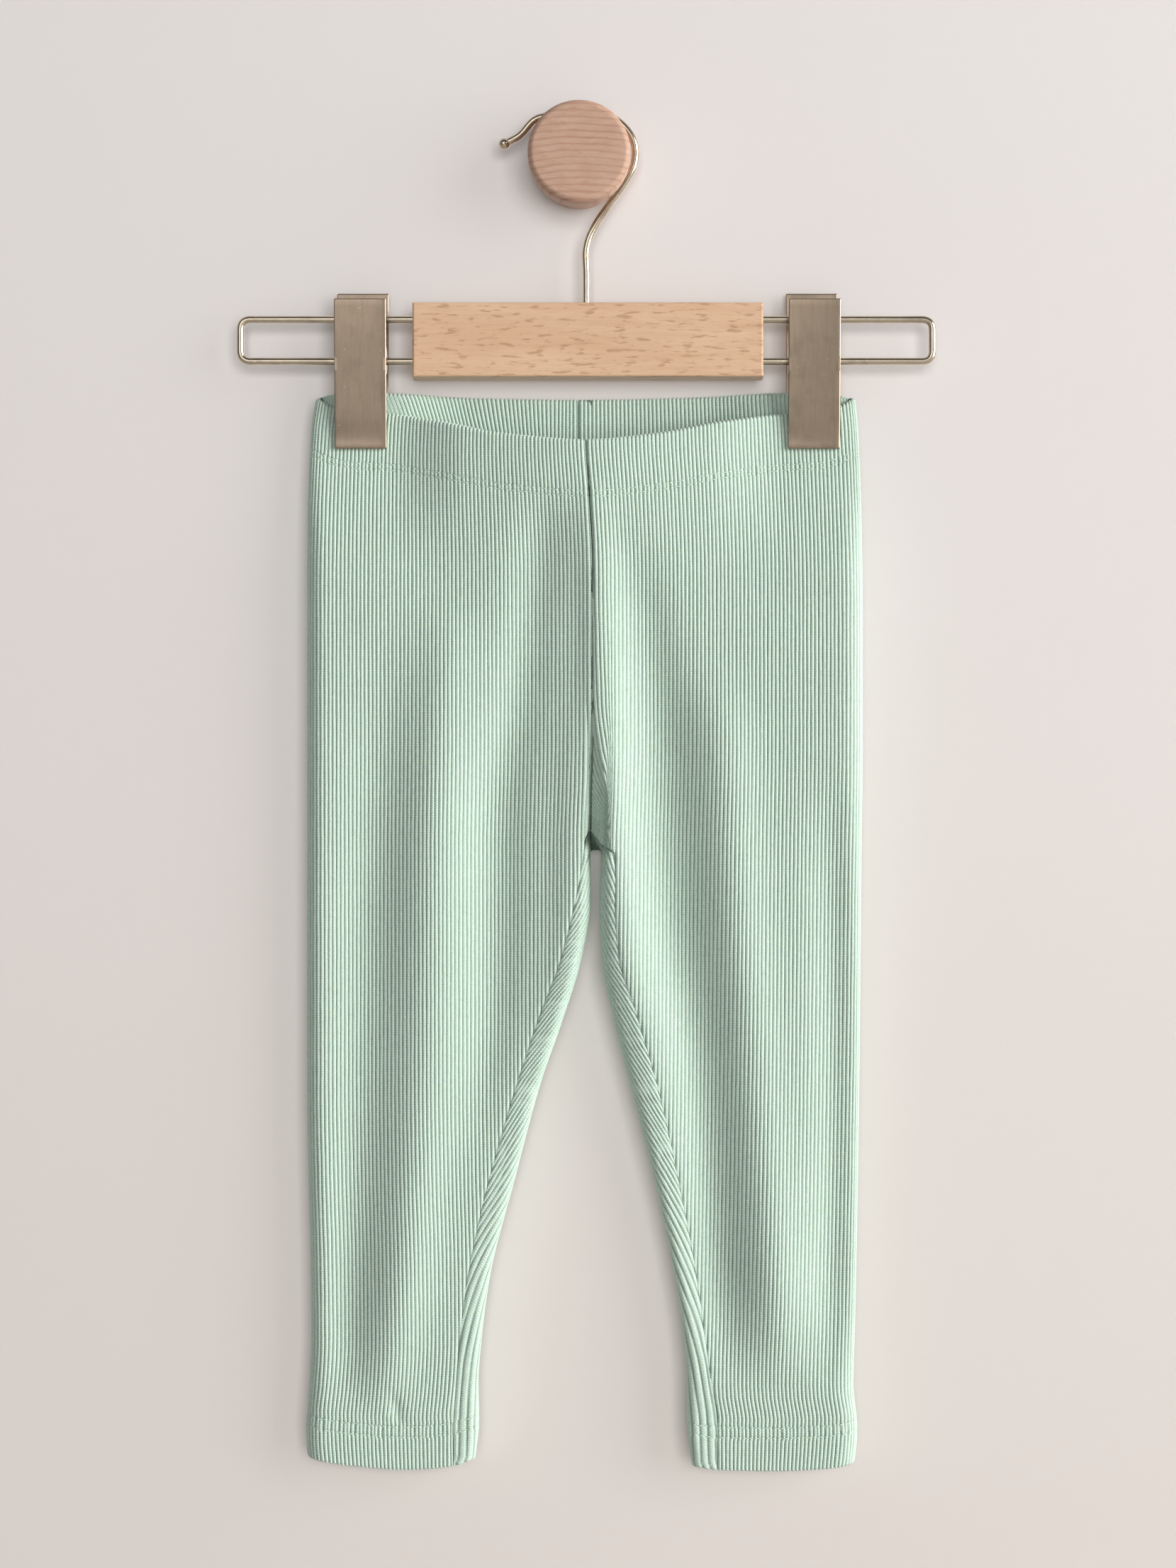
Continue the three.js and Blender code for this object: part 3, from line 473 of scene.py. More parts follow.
    def lifted(self, s, z, rise):
        """Points at a height above the middle surface; the inside stays on its own half."""
        at, normal = self.surface(s, z)
        out = at + normal * np.asarray(rise)[..., None]
        away = np.sign(at[..., 1] - HANG_Y)
        pinched = (rise < 0) & (z > PINCH_FROM) & ((out[..., 1] - HANG_Y) * away < INNER_CLEAR)
        out[..., 1] = np.where(pinched, HANG_Y + away * INNER_CLEAR, out[..., 1])
        return out

    def top_height(self, s):
        x = self.place(s, -120.0, np.full(np.shape(s), True))[..., 0]
        return np.where(np.asarray(s) < 0, curve(FRONT_EDGE, x), curve(BACK_EDGE, x))

    def hem_height(self, s):
        x = self.place(s, -556.0, np.full(np.shape(s), False))[..., 0]
        return curve(HEM_EDGE, x)


def rib_columns(low, high, fixed=(), every=None):
    """Columns from s low to s high, each with its height on the rib's profile."""
    columns = [(s, 0.0) for s in (low, *fixed, high)]
    for k in range(math.floor(low / PITCH) - 1, math.ceil(high / PITCH) + 1):
        shares = RIB if every is None else ([(0.0, 0.0)] if k % every == 0 else [])
        for share, height in shares:
            s = (k + share) * PITCH
            if low < s < high and all(abs(s - c) > 0.2 for c in (low, *fixed, high)):
                columns.append((s, height))
    return sorted(columns)


def chance(n, salt):
    """A fixed pseudo-random number from 0 to 1 for each whole number."""
    v = np.sin(np.asarray(n, float) * 12.9898 + salt * 78.233) * 43758.5453
    return v - np.floor(v)


def rib_shift(leg, s, z):
    """How far the ribs are moved sideways where they slant beside the crotch."""
    near_back = smooth((s - leg.back_limit + 62) / 56)
    shift = curve(STRIP_SLANT, z) * near_back
    if leg.side == "left":
        from_seam = leg.front_limit - np.abs(s)
        fan = curve(FAN_SLANT, z) * (1 - smooth((from_seam - 5.5) / 3.5))
        shift = shift + np.where(s < 0, -fan, 0)
    return shift


def fan_fade(leg, s, z):
    """The ribs flatten on the steep side of the fold beside the crotch."""
    if leg.side == "right":
        return np.ones_like(s)
    from_seam = leg.front_limit - np.abs(s)
    flank = smooth((from_seam - 5.2) / 1.2) * smooth((9.0 - from_seam) / 1.4)
    steep = smooth((-z - 250) / 20) * smooth((z + 316) / 12)
    return np.where(s < 0, 1 - 0.5 * flank * steep, 1)


def rib_height(phase):
    """Height on a rib's profile at a distance across the ribs."""
    shares = [r[0] for r in RIB] + [1.0]
    heights = [r[1] for r in RIB] + [0.0]
    return np.interp(phase / PITCH - np.floor(phase / PITCH), shares, heights)


def edge_distances(leg, s, z):
    """Distances down from the waist's top edge and up from the hem's lower edge."""
    top = leg.top_height(np.clip(s, -leg.front_limit, leg.back_limit))
    return top - z, z - leg.hem_height(s)


def between_rows(distance, rows, soft):
    """One between two rows of stitches, fading to zero outside them."""
    return smooth((distance - rows[0] + soft) / soft) * smooth((rows[1] + soft - distance) / soft)


def wobble(leg, s, z):
    """Small sideways wander of the ribs, with kinks at the stitching."""
    rib = np.floor(s / PITCH)
    wander = 0.05 * np.sin(z / 7.3 + 2.3 * np.sin(rib * 1.7)) + 0.03 * np.sin(z / 3.1 + rib)
    below, above = edge_distances(leg, s, z)
    waist = between_rows(below, WAIST_ROWS, 1.0)
    foot = between_rows(above, HEM_ROWS, 1.3)
    kinks = waist * (chance(rib, 1) - 0.35) + foot * (1.3 * chance(rib, 2) - 0.2)
    lean = 1.1 * smooth((above - HEM_ROWS[1]) / 4) * smooth((HEM_ROWS[1] + 16 - above) / 13)
    return wander + 0.42 * kinks + np.where(s < 0, 0.35, 0.0) * lean


def seam_roll(leg, s, z):
    """The cloth's edges roll in at the seams."""
    near_front = np.where(s < 0, leg.reach(True, z) - np.abs(s), 99)
    near_back = np.where(s > 0, leg.reach(False, z) - np.abs(s), 99)
    near = np.maximum(0, np.minimum(near_front, near_back))
    return -0.4 * np.exp(-(near / 0.75) ** 2)


def zip_sides(triangles, a, b, key_a, key_b):
    """Triangles between two chains of points, taken in the order of their keys."""
    i = j = 0
    last_a, last_b = len(a) - 1, len(b) - 1
    while i < last_a or j < last_b:
        if j == last_b or (i < last_a and key_a[i + 1] < key_b[j + 1] - 1e-6):
            triangles.append((a[i], b[j], a[i + 1]))
            i += 1
        else:
            triangles.append((a[i], b[j], b[j + 1]))
            j += 1


class Skin:
    """Columns of points from top to bottom, joined side by side."""

    def __init__(self, points, layer):
        self.points = points
        self.layer = layer
        self.columns = []
        self.triangles = []

    def add(self, s, height, rows, upper=None, lower=None):
        ids = list(range(len(self.points), len(self.points) + len(rows)))
        self.points.extend((s, z, height, self.layer) for z in rows)
        start = 0 if upper is None else rows.index(upper)
        stop = len(rows) - 1 if lower is None else rows.index(lower)
        self.columns.append((s, ids, [-z for z in rows], start, stop))

    def join(self):
        for (_, ids, keys, start, stop), (_, ids_b, keys_b, _, _) in zip(self.columns, self.columns[1:]):
            zip_sides(self.triangles, ids[start:stop + 1], ids_b, keys[start:stop + 1], keys_b)

    def edge(self, top):
        stretches = [([], [])]
        for s, ids, keys, start, stop in self.columns:
            end = 0 if top else len(ids) - 1
            corner = start if top else stop
            stretches[-1][0].append(ids[end])
            stretches[-1][1].append(s)
            if corner != end:
                low, high = min(end, corner), max(end, corner)
                side, side_keys = ids[low:high + 1], keys[low:high + 1]
                if not top:
                    side, side_keys = side[::-1], [-k for k in side_keys[::-1]]
                stretches.append((side, side_keys))
                stretches.append(([ids[corner]], [s]))
        return stretches


def flipped(triangles):
    return [(a, c, b) for a, b, c in triangles]


def close_rim(outer, inner):
    """Triangles that join the two skins all round their edges."""
    high, low = [], []
    for top, out in ((True, high), (False, low)):
        for (a, ka), (b, kb) in zip(outer.edge(top), inner.edge(top)):
            zip_sides(out, a, b, ka, kb)
    for skin_end, out in ((0, low), (-1, high)):
        a, b = outer.columns[skin_end], inner.columns[skin_end]
        zip_sides(out, a[1], b[1], a[2], b[2])
    return high + flipped(low)


# Heights of the rows of points in a leg: everywhere, and closer ones where the ribs slant
BASE_ROWS = list(np.arange(-150.0, -548.0, -5.5))
FOLD_ROWS = list(np.arange(-212.0, -332.0, -2.2))
STRIP_ROWS = list(np.arange(-268.0, -548.0, -1.2))
RAMP_ROWS = list(np.arange(-240.0, -548.0, -2.75))
FAN_ROWS = list(np.arange(-186.0, -318.0, -0.8))


def leg_panel(leg):
    """One leg between its waistband and its hem: ribbed outside, plain inside."""
    back_limit, front_limit, shelf = leg.back_limit, leg.front_limit, leg.shelf
    points = []
    outer, inner = Skin(points, 0.0), Skin(points, 1.0)
    fixed = (back_limit,) if shelf is None else (back_limit, shelf[0])

    def rows_of(s, sparse):
        same_back, on_shelf = abs(s - back_limit) < 0.01, shelf is not None and abs(s - shelf[0]) < 0.01
        edge = float(leg.top_height(min(s, back_limit)))
        if s > back_limit + 0.01:
            top = leg.cut_above(s)
        else:
            top = edge - WAIST_ROWS[1] - 0.2
        foot = float(leg.hem_height(s))
        bottom = max(foot + HEM_ROWS[1] + 0.2, leg.cut_below(s))
        if abs(s + front_limit) < 0.01:
            bottom = CROTCH_Z
        wanted = list(BASE_ROWS[::2] if sparse else BASE_ROWS)
        if abs(s) > front_limit - 20:
            wanted += FOLD_ROWS[::2] if sparse else FOLD_ROWS
        if not sparse:
            if s > back_limit - 58:
                wanted += RAMP_ROWS
            if s > leg.half_round(-440.0) - 2:
                wanted += [z for z in STRIP_ROWS if s > leg.half_round(z) - 5]
            if leg.side == "left" and s < 11 - front_limit:
                wanted += FAN_ROWS
            wanted += [edge - WAIST_ROWS[1] - d for d in (0.6, 1.2, 2.4, 4.0)]
            wanted += [foot + HEM_ROWS[1] + d for d in (0.6, 1.2, 2.4, 4.0, 6.5, 9.5, 13.0)]
        # Rows at set distances from a slanting seam, so that its roll is even
        if not sparse and s < 0:
            wanted += [leg.cut_below(s - d) for d in (0.5, 1.2)]
        must = [CROTCH_Z] + ([shelf[1]] if on_shelf else [])
        must = [z for z in must if bottom + 0.3 < z < top - 0.3]
        rows = []
        for z in sorted(wanted, reverse=True):
            clear = all(abs(z - m) > 0.35 for m in must + rows[-1:])
            if bottom + 0.35 < z < top - 0.35 and clear:
                rows.append(z)
        rows += must
        rows = sorted(set([top] + rows + ([bottom] if top - bottom > 0.05 else [])), reverse=True)
        upper = CROTCH_Z if same_back else None
        return rows, upper, (shelf[1] if on_shelf else None)

    for skin, every in ((outer, None), (inner, 1)):
        columns = rib_columns(-front_limit, leg.widest, fixed, every)
        if every is None and leg.side == "left":
            fine = np.arange(-front_limit + 0.17, -front_limit + 9.6, 0.17)
            columns = sorted([(float(s), float(rib_height(s))) for s in fine]
                             + [c for c in columns if not fine[0] - 0.1 < c[0] < fine[-1] + 0.1])
        for s, height in columns:
            rows, upper, lower = rows_of(s, every is not None)
            skin.add(s, height, rows, upper, lower)
        skin.join()
    rim = close_rim(outer, inner)
    triangles = outer.triangles + flipped(inner.triangles) + rim
    group = [0] * len(outer.triangles) + [1] * len(inner.triangles) + [2] * len(rim)
    cut = flat_area(points, outer.triangles)
    if leg.inward < 0:
        triangles = flipped(triangles)
    s, z, height, layer = np.array(points).T
    shift = rib_shift(leg, s, z)
    height = np.where(np.abs(shift) > 0.02, rib_height(s + shift), height) * fan_fade(leg, s, z)
    at_fork = smooth((np.abs(z - CROTCH_Z) - 1) / 8)
    at_fork = np.where(s < 0, np.maximum(at_fork, 0.7), at_fork)
    height = np.where(np.abs(s) > front_limit - 4, height * at_fork, height)
    rise = np.where(layer > 0.5, -WALL, rib_rise(leg, s, z, height) + seam_roll(leg, s, z))
    places = leg.lifted(s + np.where(layer > 0.5, 0, wobble(leg, s, z)), z, rise)
    # The rib attribute also drives the cloth's painted shade in the grooves; the plain inside gets a middle
    # tone.
    rib = np.where(layer > 0.5, 0.5, height)
    return places, triangles, np.stack([s, z], 1) * MM, rib, cut, group


def flat_area(points, triangles):
    """Area of the cut cloth that the triangles cover in the flat layout."""
    at = np.array([p[:2] for p in points])[np.array(triangles)]
    ab, ac = at[:, 1] - at[:, 0], at[:, 2] - at[:, 0]
    return float(np.abs(ab[:, 0] * ac[:, 1] - ab[:, 1] * ac[:, 0]).sum() / 2)


def rib_rise(leg, s, z, height):
    """Height of the ribbed face: at each row of stitches the ribs are pressed down, and the
    grooves between them are drawn in to small holes."""
    below, above = edge_distances(leg, s, z)
    press = np.zeros_like(z)
    for row in WAIST_ROWS:
        press = np.maximum(press, np.exp(-((below - row) / 0.5) ** 2))
    for row in HEM_ROWS:
        press = np.maximum(press, np.exp(-((above - row) / 0.55) ** 2))
    rib = np.floor(s / PITCH + 0.5)
    strength = 0.35 + 0.65 * chance(rib, 3)
    return RISE * height * (1 - 0.42 * press) - 0.6 * press * strength * (1 - height)


def turned_edge(rows, wall, radius):
    """A turned-over cloth in section, from the outside's far end round the edge and back on
    the inside: rows of (distance from the edge, offset, normal across, normal along)."""
    path = [(h, 0.0, 1.0, 0.0) for h in rows[::-1]]
    for a in np.linspace(0, math.pi, 11):
        path.append((radius * (1 - math.sin(a)), wall / 2 * (math.cos(a) - 1), math.cos(a), math.sin(a)))
    inside = [h for h in rows if h > radius + 0.5][::2]
    path += [(h, -wall, -1.0, 0.0) for h in inside if h < rows[-1] - 0.3] + [(rows[-1], -wall, -1.0, 0.0)]
    return np.array(path)


def edge_piece(leg, columns, path, height_at, spread, upwards):
    """A waistband or hem: the section path swept along the columns."""
    s = np.array([c[0] for c in columns])
    ribs = np.array([c[1] for c in columns])
    h, offset, across, along = path.T
    edge = height_at(s)
    z = edge[:, None] + (-h if upwards else h)[None, :]
    s_grid = np.repeat(s[:, None], len(h), 1)
    rib_grid = np.repeat(ribs[:, None], len(h), 1)
    s_used = spread(s_grid, z)
    shifted = rib_shift(leg, s_used, z)
    rib_grid = np.where(np.abs(shifted) > 0.02, rib_height(s_used + shifted), rib_grid)
    roll = np.where(across[None, :] > -0.9, seam_roll(leg, s_used, z), 0.0)
    lift = np.where(across[None, :] > 0.9, rib_rise(leg, s_used, z, rib_grid), RISE * rib_grid)
    shift = np.where(across[None, :] > 0, wobble(leg, s_used, z), 0)
    turn = 1 if upwards else -1
    places = leg.lifted(s_used + shift, z, offset[None, :] + (lift + roll) * across[None, :])
    places[..., 2] += turn * lift * along[None, :]
    n, m = s_grid.shape
    ids = np.arange(n * m).reshape(n, m)
    a, b = ids[:-1], ids[1:]
    quads = []
    for j in range(m):
        k = (j + 1) % m
        quads += list(zip(a[:, j], b[:, j], a[:, k]))
        quads += list(zip(b[:, j], b[:, k], a[:, k]))
    caps = []
    for row, flip in ((ids[0], False), (ids[-1], True)):
        i, j = 0, m - 1
        fan = []
        while j - i > 1:
            fan.append((row[i], row[i + 1], row[j]))
            i += 1
            if j - i > 1:
                fan.append((row[i], row[j - 1], row[j]))
                j -= 1
        caps += flipped(fan) if flip else fan
    triangles = quads + caps
    if (leg.inward < 0) == upwards:
        triangles = flipped(triangles)
    uv = np.stack([s_grid.ravel(), z.ravel()], 1) * MM
    cut = float(s[-1] - s[0]) * float(h[0])
    group = [0] * len(quads) + [1] * len(caps)
    return places.reshape(-1, 3), triangles, uv, rib_grid.ravel(), cut, group


def waistband(leg):
    """Half of the waistband, turned over at its top edge."""
    rows = [2.6, 4.4, 6.6, 9, 11.5, 14, 16.5, 18.6, 20, 20.7, 21.1, 21.35, 21.6, 21.85, 22.2, 22.75,
            23.3, 23.65, 23.9, 24.1]
    columns = rib_columns(-leg.front_limit, leg.back_limit)

    def lean(s, z):
        """Ribs lean inside the back of the band, towards the hip at its top."""
        if leg.side == "left":
            return s
        up = 1 - np.clip((leg.top_height(s) - z) / WAIST_ROWS[0], 0, 1)
        return s - curve(BAND_LEAN, s) * up

    return edge_piece(leg, columns, turned_edge(rows, BAND_WALL, 1.2), leg.top_height, lean, True)


def hem(leg):
    """A hem, whose columns spread to the seams as the leg widens."""
    front, back = float(leg.reach(True, -549.0)), float(leg.reach(False, -549.0))
    rows = [2.4, 4.4, 6.8, 9.4, 11.8, 12.8, 13.3, 13.6, 13.9, 14.2, 14.5, 15.1, 16, 17, 17.6, 18.0,
            18.3, 18.5]

    def spread(s, z):
        return s * np.where(s < 0, leg.reach(True, z) / front, leg.reach(False, z) / back)

    return edge_piece(leg, rib_columns(-front, back), turned_edge(rows, HEM_WALL, 1.0),
                      leg.hem_height, spread, False)


def stitches(leg, edge_at, rows, low, high, sign):
    """Short threads along twin rows: each rises over the ribs and dives at its ends."""
    shapes = []
    for number, row in enumerate(rows):
        at = low + 0.6 + 1.1 * number
        k = 0
        while at + 2.0 < high - 0.4:
            length = 1.9 + 0.35 * float(chance(k, 5 + number + sign))
            s_at = at + length * np.array([0, 0.16, 0.5, 0.84, 1])
            z_at = edge_at(s_at) - sign * (row + 0.24 * (float(chance(k, 9 + number)) - 0.5))
            path = leg.lifted(s_at, z_at, np.array([-0.12, 0.26, 0.5, 0.28, -0.12]))
            shapes.append(tube(path, np.array([0.12, 0.17, 0.19, 0.17, 0.12]), 6))
            at += length + 0.35 + 0.2 * float(chance(k, 21 + number))
            k += 1
    return joined(shapes)


# Hanger shapes

def joined(shapes):
    """One set of points and triangles from several."""
    points, triangles, base = [], [], 0
    for at, faces in shapes:
        points.append(np.asarray(at, float))
        triangles.append(np.asarray(faces, int).reshape(-1, 3) + base)
        base += len(at)
    return np.concatenate(points), np.concatenate(triangles)


def grid_faces(rings, sides, closed=False):
    """Triangles between rings of points that lie one after another."""
    faces = []
    for i in range(rings if closed else rings - 1):
        for k in range(sides):
            a, b = i * sides + k, i * sides + (k + 1) % sides
            c, d = ((i + 1) % rings) * sides + k, ((i + 1) % rings) * sides + (k + 1) % sides
            faces += [(a, b, d), (a, d, c)]
    return faces


def tube(path, radius, sides=20):
    """A round wire along a path, closed at both ends."""
    path = np.asarray(path, float)
    radius = np.broadcast_to(radius, len(path))
    ahead = unit(np.gradient(path, axis=0))
    turn = np.linspace(0, 2 * math.pi, sides, endpoint=False)
    normal = np.cross(ahead[0], (0.31, 1.0, 0.17))
    rings = []
    for at, way, r in zip(path, ahead, radius):
        normal = unit(normal - way * np.dot(normal, way))
        other = np.cross(way, normal)
        rings.append(at + r * (np.cos(turn)[:, None] * normal + np.sin(turn)[:, None] * other))
    points = np.concatenate(rings + [path[:1], path[-1:]])
    faces = grid_faces(len(path), sides)
    first, last, end = len(points) - 2, len(points) - 1, (len(path) - 1) * sides
    for k in range(sides):
        faces.append((first, (k + 1) % sides, k))
        faces.append((last, end + k, end + (k + 1) % sides))
    return points, faces


def lathe(profile, sides=96):
    """Rows of (y, radius) turned round the Y axis, closed on the axis at both ends."""
    turn = np.linspace(0, 2 * math.pi, sides, endpoint=False)
    rings = [np.stack([r * np.sin(turn), np.full(sides, y), r * np.cos(turn)], 1) for y, r in profile]
    ends = np.array([(0, profile[0][0], 0), (0, profile[-1][0], 0)])
    points = np.concatenate(rings + [ends])
    faces = grid_faces(len(profile), sides)
    first, last, end = len(points) - 2, len(points) - 1, (len(profile) - 1) * sides
    for k in range(sides):
        faces.append((first, (k + 1) % sides, k))
        faces.append((last, end + k, end + (k + 1) % sides))
    return points, flipped(faces)


def arc(centre, radius, start, stop, steps):
    """Points (a, b) on an arc, its angles in degrees."""
    turn = np.radians(np.linspace(start, stop, steps))
    return [(centre[0] + radius * math.cos(t), centre[1] + radius * math.sin(t)) for t in turn]


def rounded_line(corners, radius, steps=10):
    """A line through corners (x, z) in the hanging plane, with its inner corners rounded."""
    corners = [np.array(c, float) for c in corners]
    path = [corners[0]]
    for before, at, after in zip(corners, corners[1:], corners[2:]):
        a, b = at + unit(before - at) * radius, at + unit(after - at) * radius
        for t in np.linspace(0, 1, steps):
            path.append((1 - t) ** 2 * a + 2 * t * (1 - t) * at + t * t * b)
    path.append(corners[-1])
    return np.array([(x, HANG_Y, z) for x, z in path])


def through(knots, steps):
    """A smooth path through knots (x, z) in the hanging plane."""
    p = np.array(knots, float)
    p = np.concatenate([[2 * p[0] - p[1]], p, [2 * p[-1] - p[-2]]])
    path = []
    for i in range(1, len(p) - 2):
        for t in np.linspace(0, 1, steps, endpoint=False):
            a, b, c, d = p[i - 1], p[i], p[i + 1], p[i + 2]
            path.append(0.5 * (2 * b + (c - a) * t + (2 * a - 5 * b + 4 * c - d) * t * t
                               + (3 * b - a - 3 * c + d) * t ** 3))
    path.append(p[-2])
    return np.array([(x, HANG_Y, z) for x, z in path])


def ball(centre, radius, rings=18, sides=28):
    turn = np.linspace(0, 2 * math.pi, sides, endpoint=False)
    tilt = np.linspace(0, math.pi, rings)[1:-1]
    points = [np.stack([radius * math.sin(t) * np.cos(turn), radius * math.sin(t) * np.sin(turn),
                        np.full(sides, radius * math.cos(t))], 1) for t in tilt]
    points = np.concatenate(points + [[(0, 0, radius), (0, 0, -radius)]]) + centre
    faces = grid_faces(len(tilt), sides)
    top, low, end = len(points) - 2, len(points) - 1, (len(tilt) - 1) * sides
    for k in range(sides):
        faces.append((top, (k + 1) % sides, k))
        faces.append((low, end + k, end + (k + 1) % sides))
    return points, flipped(faces)


def sheet_plate(line, x0, x1, thick, edge=0.45):
    """A sheet-metal plate: its inner face's side view as rows (y, z), between two heights on X,
    with rounded lips and edges. Positive thickness lies towards +Y."""
    line = np.array(line, float)
    way = unit(np.gradient(line, axis=0))
    side = np.stack([-way[:, 1], way[:, 0]], 1)
    side *= np.sign(side[:, :1] + 1e-9) * np.sign(thick)
    half = abs(thick) / 2
    middle = line + side * half
    lips = []
    for at, out in ((middle[-1], way[-1]), (middle[0], -way[0])):
        across = side[-1] if len(lips) == 0 else side[0]
        sign = 1 if len(lips) == 0 else -1
        turn = np.linspace(0, math.pi, 9)[1:-1]
        lips.append([at + half * (math.cos(t) * across * sign + math.sin(t) * out) for t in turn])
    loop = np.concatenate([middle + side * half, lips[0], (middle - side * half)[::-1], lips[1]])
    count = len(loop)
    around = np.roll(loop, -1, axis=0) - np.roll(loop, 1, axis=0)
    inward = unit(np.stack([-around[:, 1], around[:, 0]], 1))
    centre_side = np.sum((middle.mean(0) - loop) * inward)
    if centre_side < 0:
        inward = -inward
    rings = []
    steps = [math.radians(a) for a in (0, 30, 60, 90)]
    inset = [(edge * (1 - math.sin(a)), edge * (1 - math.cos(a))) for a in steps]
    places = [(x0 + dx, dy) for dy, dx in inset]
    places += [(x, 0.0) for x in np.linspace(x0 + edge, x1 - edge, 11)[1:-1]]
    places += [(x1 - dx, dy) for dy, dx in inset[::-1]]
    for x, dy in places:
        crown = PLATE_CROWN * (1 - ((x - (x0 + x1) / 2) / ((x1 - x0) / 2)) ** 2)
        at = loop + inward * dy + (math.copysign(crown, thick), 0)
        rings.append(np.stack([np.full(count, x), at[:, 0], at[:, 1]], 1))
    points = np.concatenate(rings)
    faces = grid_faces(len(places), count)
    end = (len(places) - 1) * count
    flat_loop = [Vector((0, p[0], p[1])) for p in loop]
    for tri in tessellate_polygon([flat_loop]):
        faces.append(tuple(tri))
        faces.append(tuple(end + v for v in tri[::-1]))
    return points, faces


def cheek(x0, x1, out):
    """A clip's ear round the lower wire, between two places on X."""
    z = FRAME["lower"]
    outline = arc((HANG_Y, z), CHEEK_R, -90, 90, 19) if out < 0 else arc((HANG_Y, z), CHEEK_R, 270, 90, 19)
    outline = outline + [(HANG_Y + out * 8.6, z + CHEEK_R + 2), (HANG_Y + out * 8.4, z - CHEEK_R + 0.5)]
    hole = arc((HANG_Y, z), WIRE_R + 0.3, 0, 345, 24)
    loops = [outline, hole]
    flat_loops = [[Vector((0, y, h)) for y, h in loop] for loop in loops]
    flat = [p for loop in loops for p in loop]
    count = len(flat)
    points = [(x, y, h) for x in (x0, x1) for y, h in flat]
    faces = []
    for tri in tessellate_polygon(flat_loops):
        faces.append(tuple(tri))
        faces.append(tuple(count + v for v in tri[::-1]))
    base = 0
    for loop in loops:
        n = len(loop)
        for k in range(n):
            a, b = base + k, base + (k + 1) % n
            faces += [(a, b, count + b), (a, count + b, count + a)]
        base += n
    return np.array(points), faces


def mended(points, triangles):
    """The same closed shape with all its faces turned outwards."""
    made = bmesh.new()
    corners = [made.verts.new(p) for p in points]
    for a, b, c in triangles:
        if len({a, b, c}) == 3:
            try:
                made.faces.new((corners[a], corners[b], corners[c]))
            except ValueError:
                continue
    bmesh.ops.remove_doubles(made, verts=made.verts, dist=1e-4)
    bmesh.ops.recalc_face_normals(made, faces=made.faces)
    made.verts.index_update()
    points = np.array([v.co for v in made.verts])
    triangles = [tuple(v.index for v in f.verts) for f in made.faces]
    made.free()
    return points, triangles


# Materials

def srgb(r, g, b):
    """Linear colour from 0-255 sRGB."""
    return tuple(((c / 255 + 0.055) / 1.055) ** 2.4 if c > 10 else c / 255 / 12.92
                 for c in (r, g, b)) + (1.0,)


class Shader:
    """A material's node tree, with its Principled shader."""

    def __init__(self, name, **values):
        self.material = bpy.data.materials.new(name)
        self.material.use_nodes = True
        self.tree = self.material.node_tree
        self.principled = self.tree.nodes["Principled BSDF"]
        self.set(self.principled, values)

    def set(self, node, values):
        for key, value in values.items():
            socket = node.inputs[key.replace("_", " ")] if isinstance(key, str) else node.inputs[key]
            if isinstance(value, bpy.types.NodeSocket):
                self.tree.links.new(value, socket)
            else:
                socket.default_value = value

    def node(self, kind, settings=None, inputs=None, out=0):
        made = self.tree.nodes.new("ShaderNode" + kind)
        for key, value in (settings or {}).items():
            setattr(made, key, value)
        self.set(made, inputs or {})
        return made.outputs[out]

    def math(self, operation, a, b=0.0):
        return self.node("Math", {"operation": operation}, {0: a, 1: b})

    def mix(self, factor, a, b, blend="MIX"):
        return self.node("Mix", {"data_type": "RGBA", "blend_type": blend},
                         {0: factor, 6: a, 7: b}, out=2)

    def ramp(self, value, stops):
        made = self.tree.nodes.new("ShaderNodeValToRGB")
        elements = made.color_ramp.elements
        while len(elements) < len(stops):
            elements.new(0.5)
        for element, (at, colour) in zip(elements, stops):
            element.position = at
            element.color = colour if len(colour) == 4 else (*colour, 1)
        self.tree.links.new(value, made.inputs[0])
        return made.outputs[0]

    def grey(self, value, *stops):
        return self.ramp(value, [(at, (v, v, v, 1)) for at, v in stops])

    def noise(self, vector, scale, detail=3.0, roughness=0.55, distortion=0.0):
        return self.node("TexNoise", None, {"Vector": vector, "Scale": scale, "Detail": detail,
                                            "Roughness": roughness, "Distortion": distortion})

    def coords(self, scale=(1, 1, 1), rotation=(0, 0, 0)):
        at = self.node("TexCoord", out=3)
        return self.node("Mapping", None, {"Vector": at, "Scale": scale, "Rotation": rotation})

    def parts(self, vector):
        """The X, Y and Z of a vector, each as a socket."""
        made = self.tree.nodes.new("ShaderNodeSeparateXYZ")
        self.set(made, {0: vector})
        return made.outputs

    def bump(self, height, distance, strength=1.0):
        made = self.node("Bump", None, {"Height": height, "Distance": distance, "Strength": strength})
        self.tree.links.new(made, self.principled.inputs["Normal"])

    def colour(self, socket):
        self.tree.links.new(socket, self.principled.inputs["Base Color"])


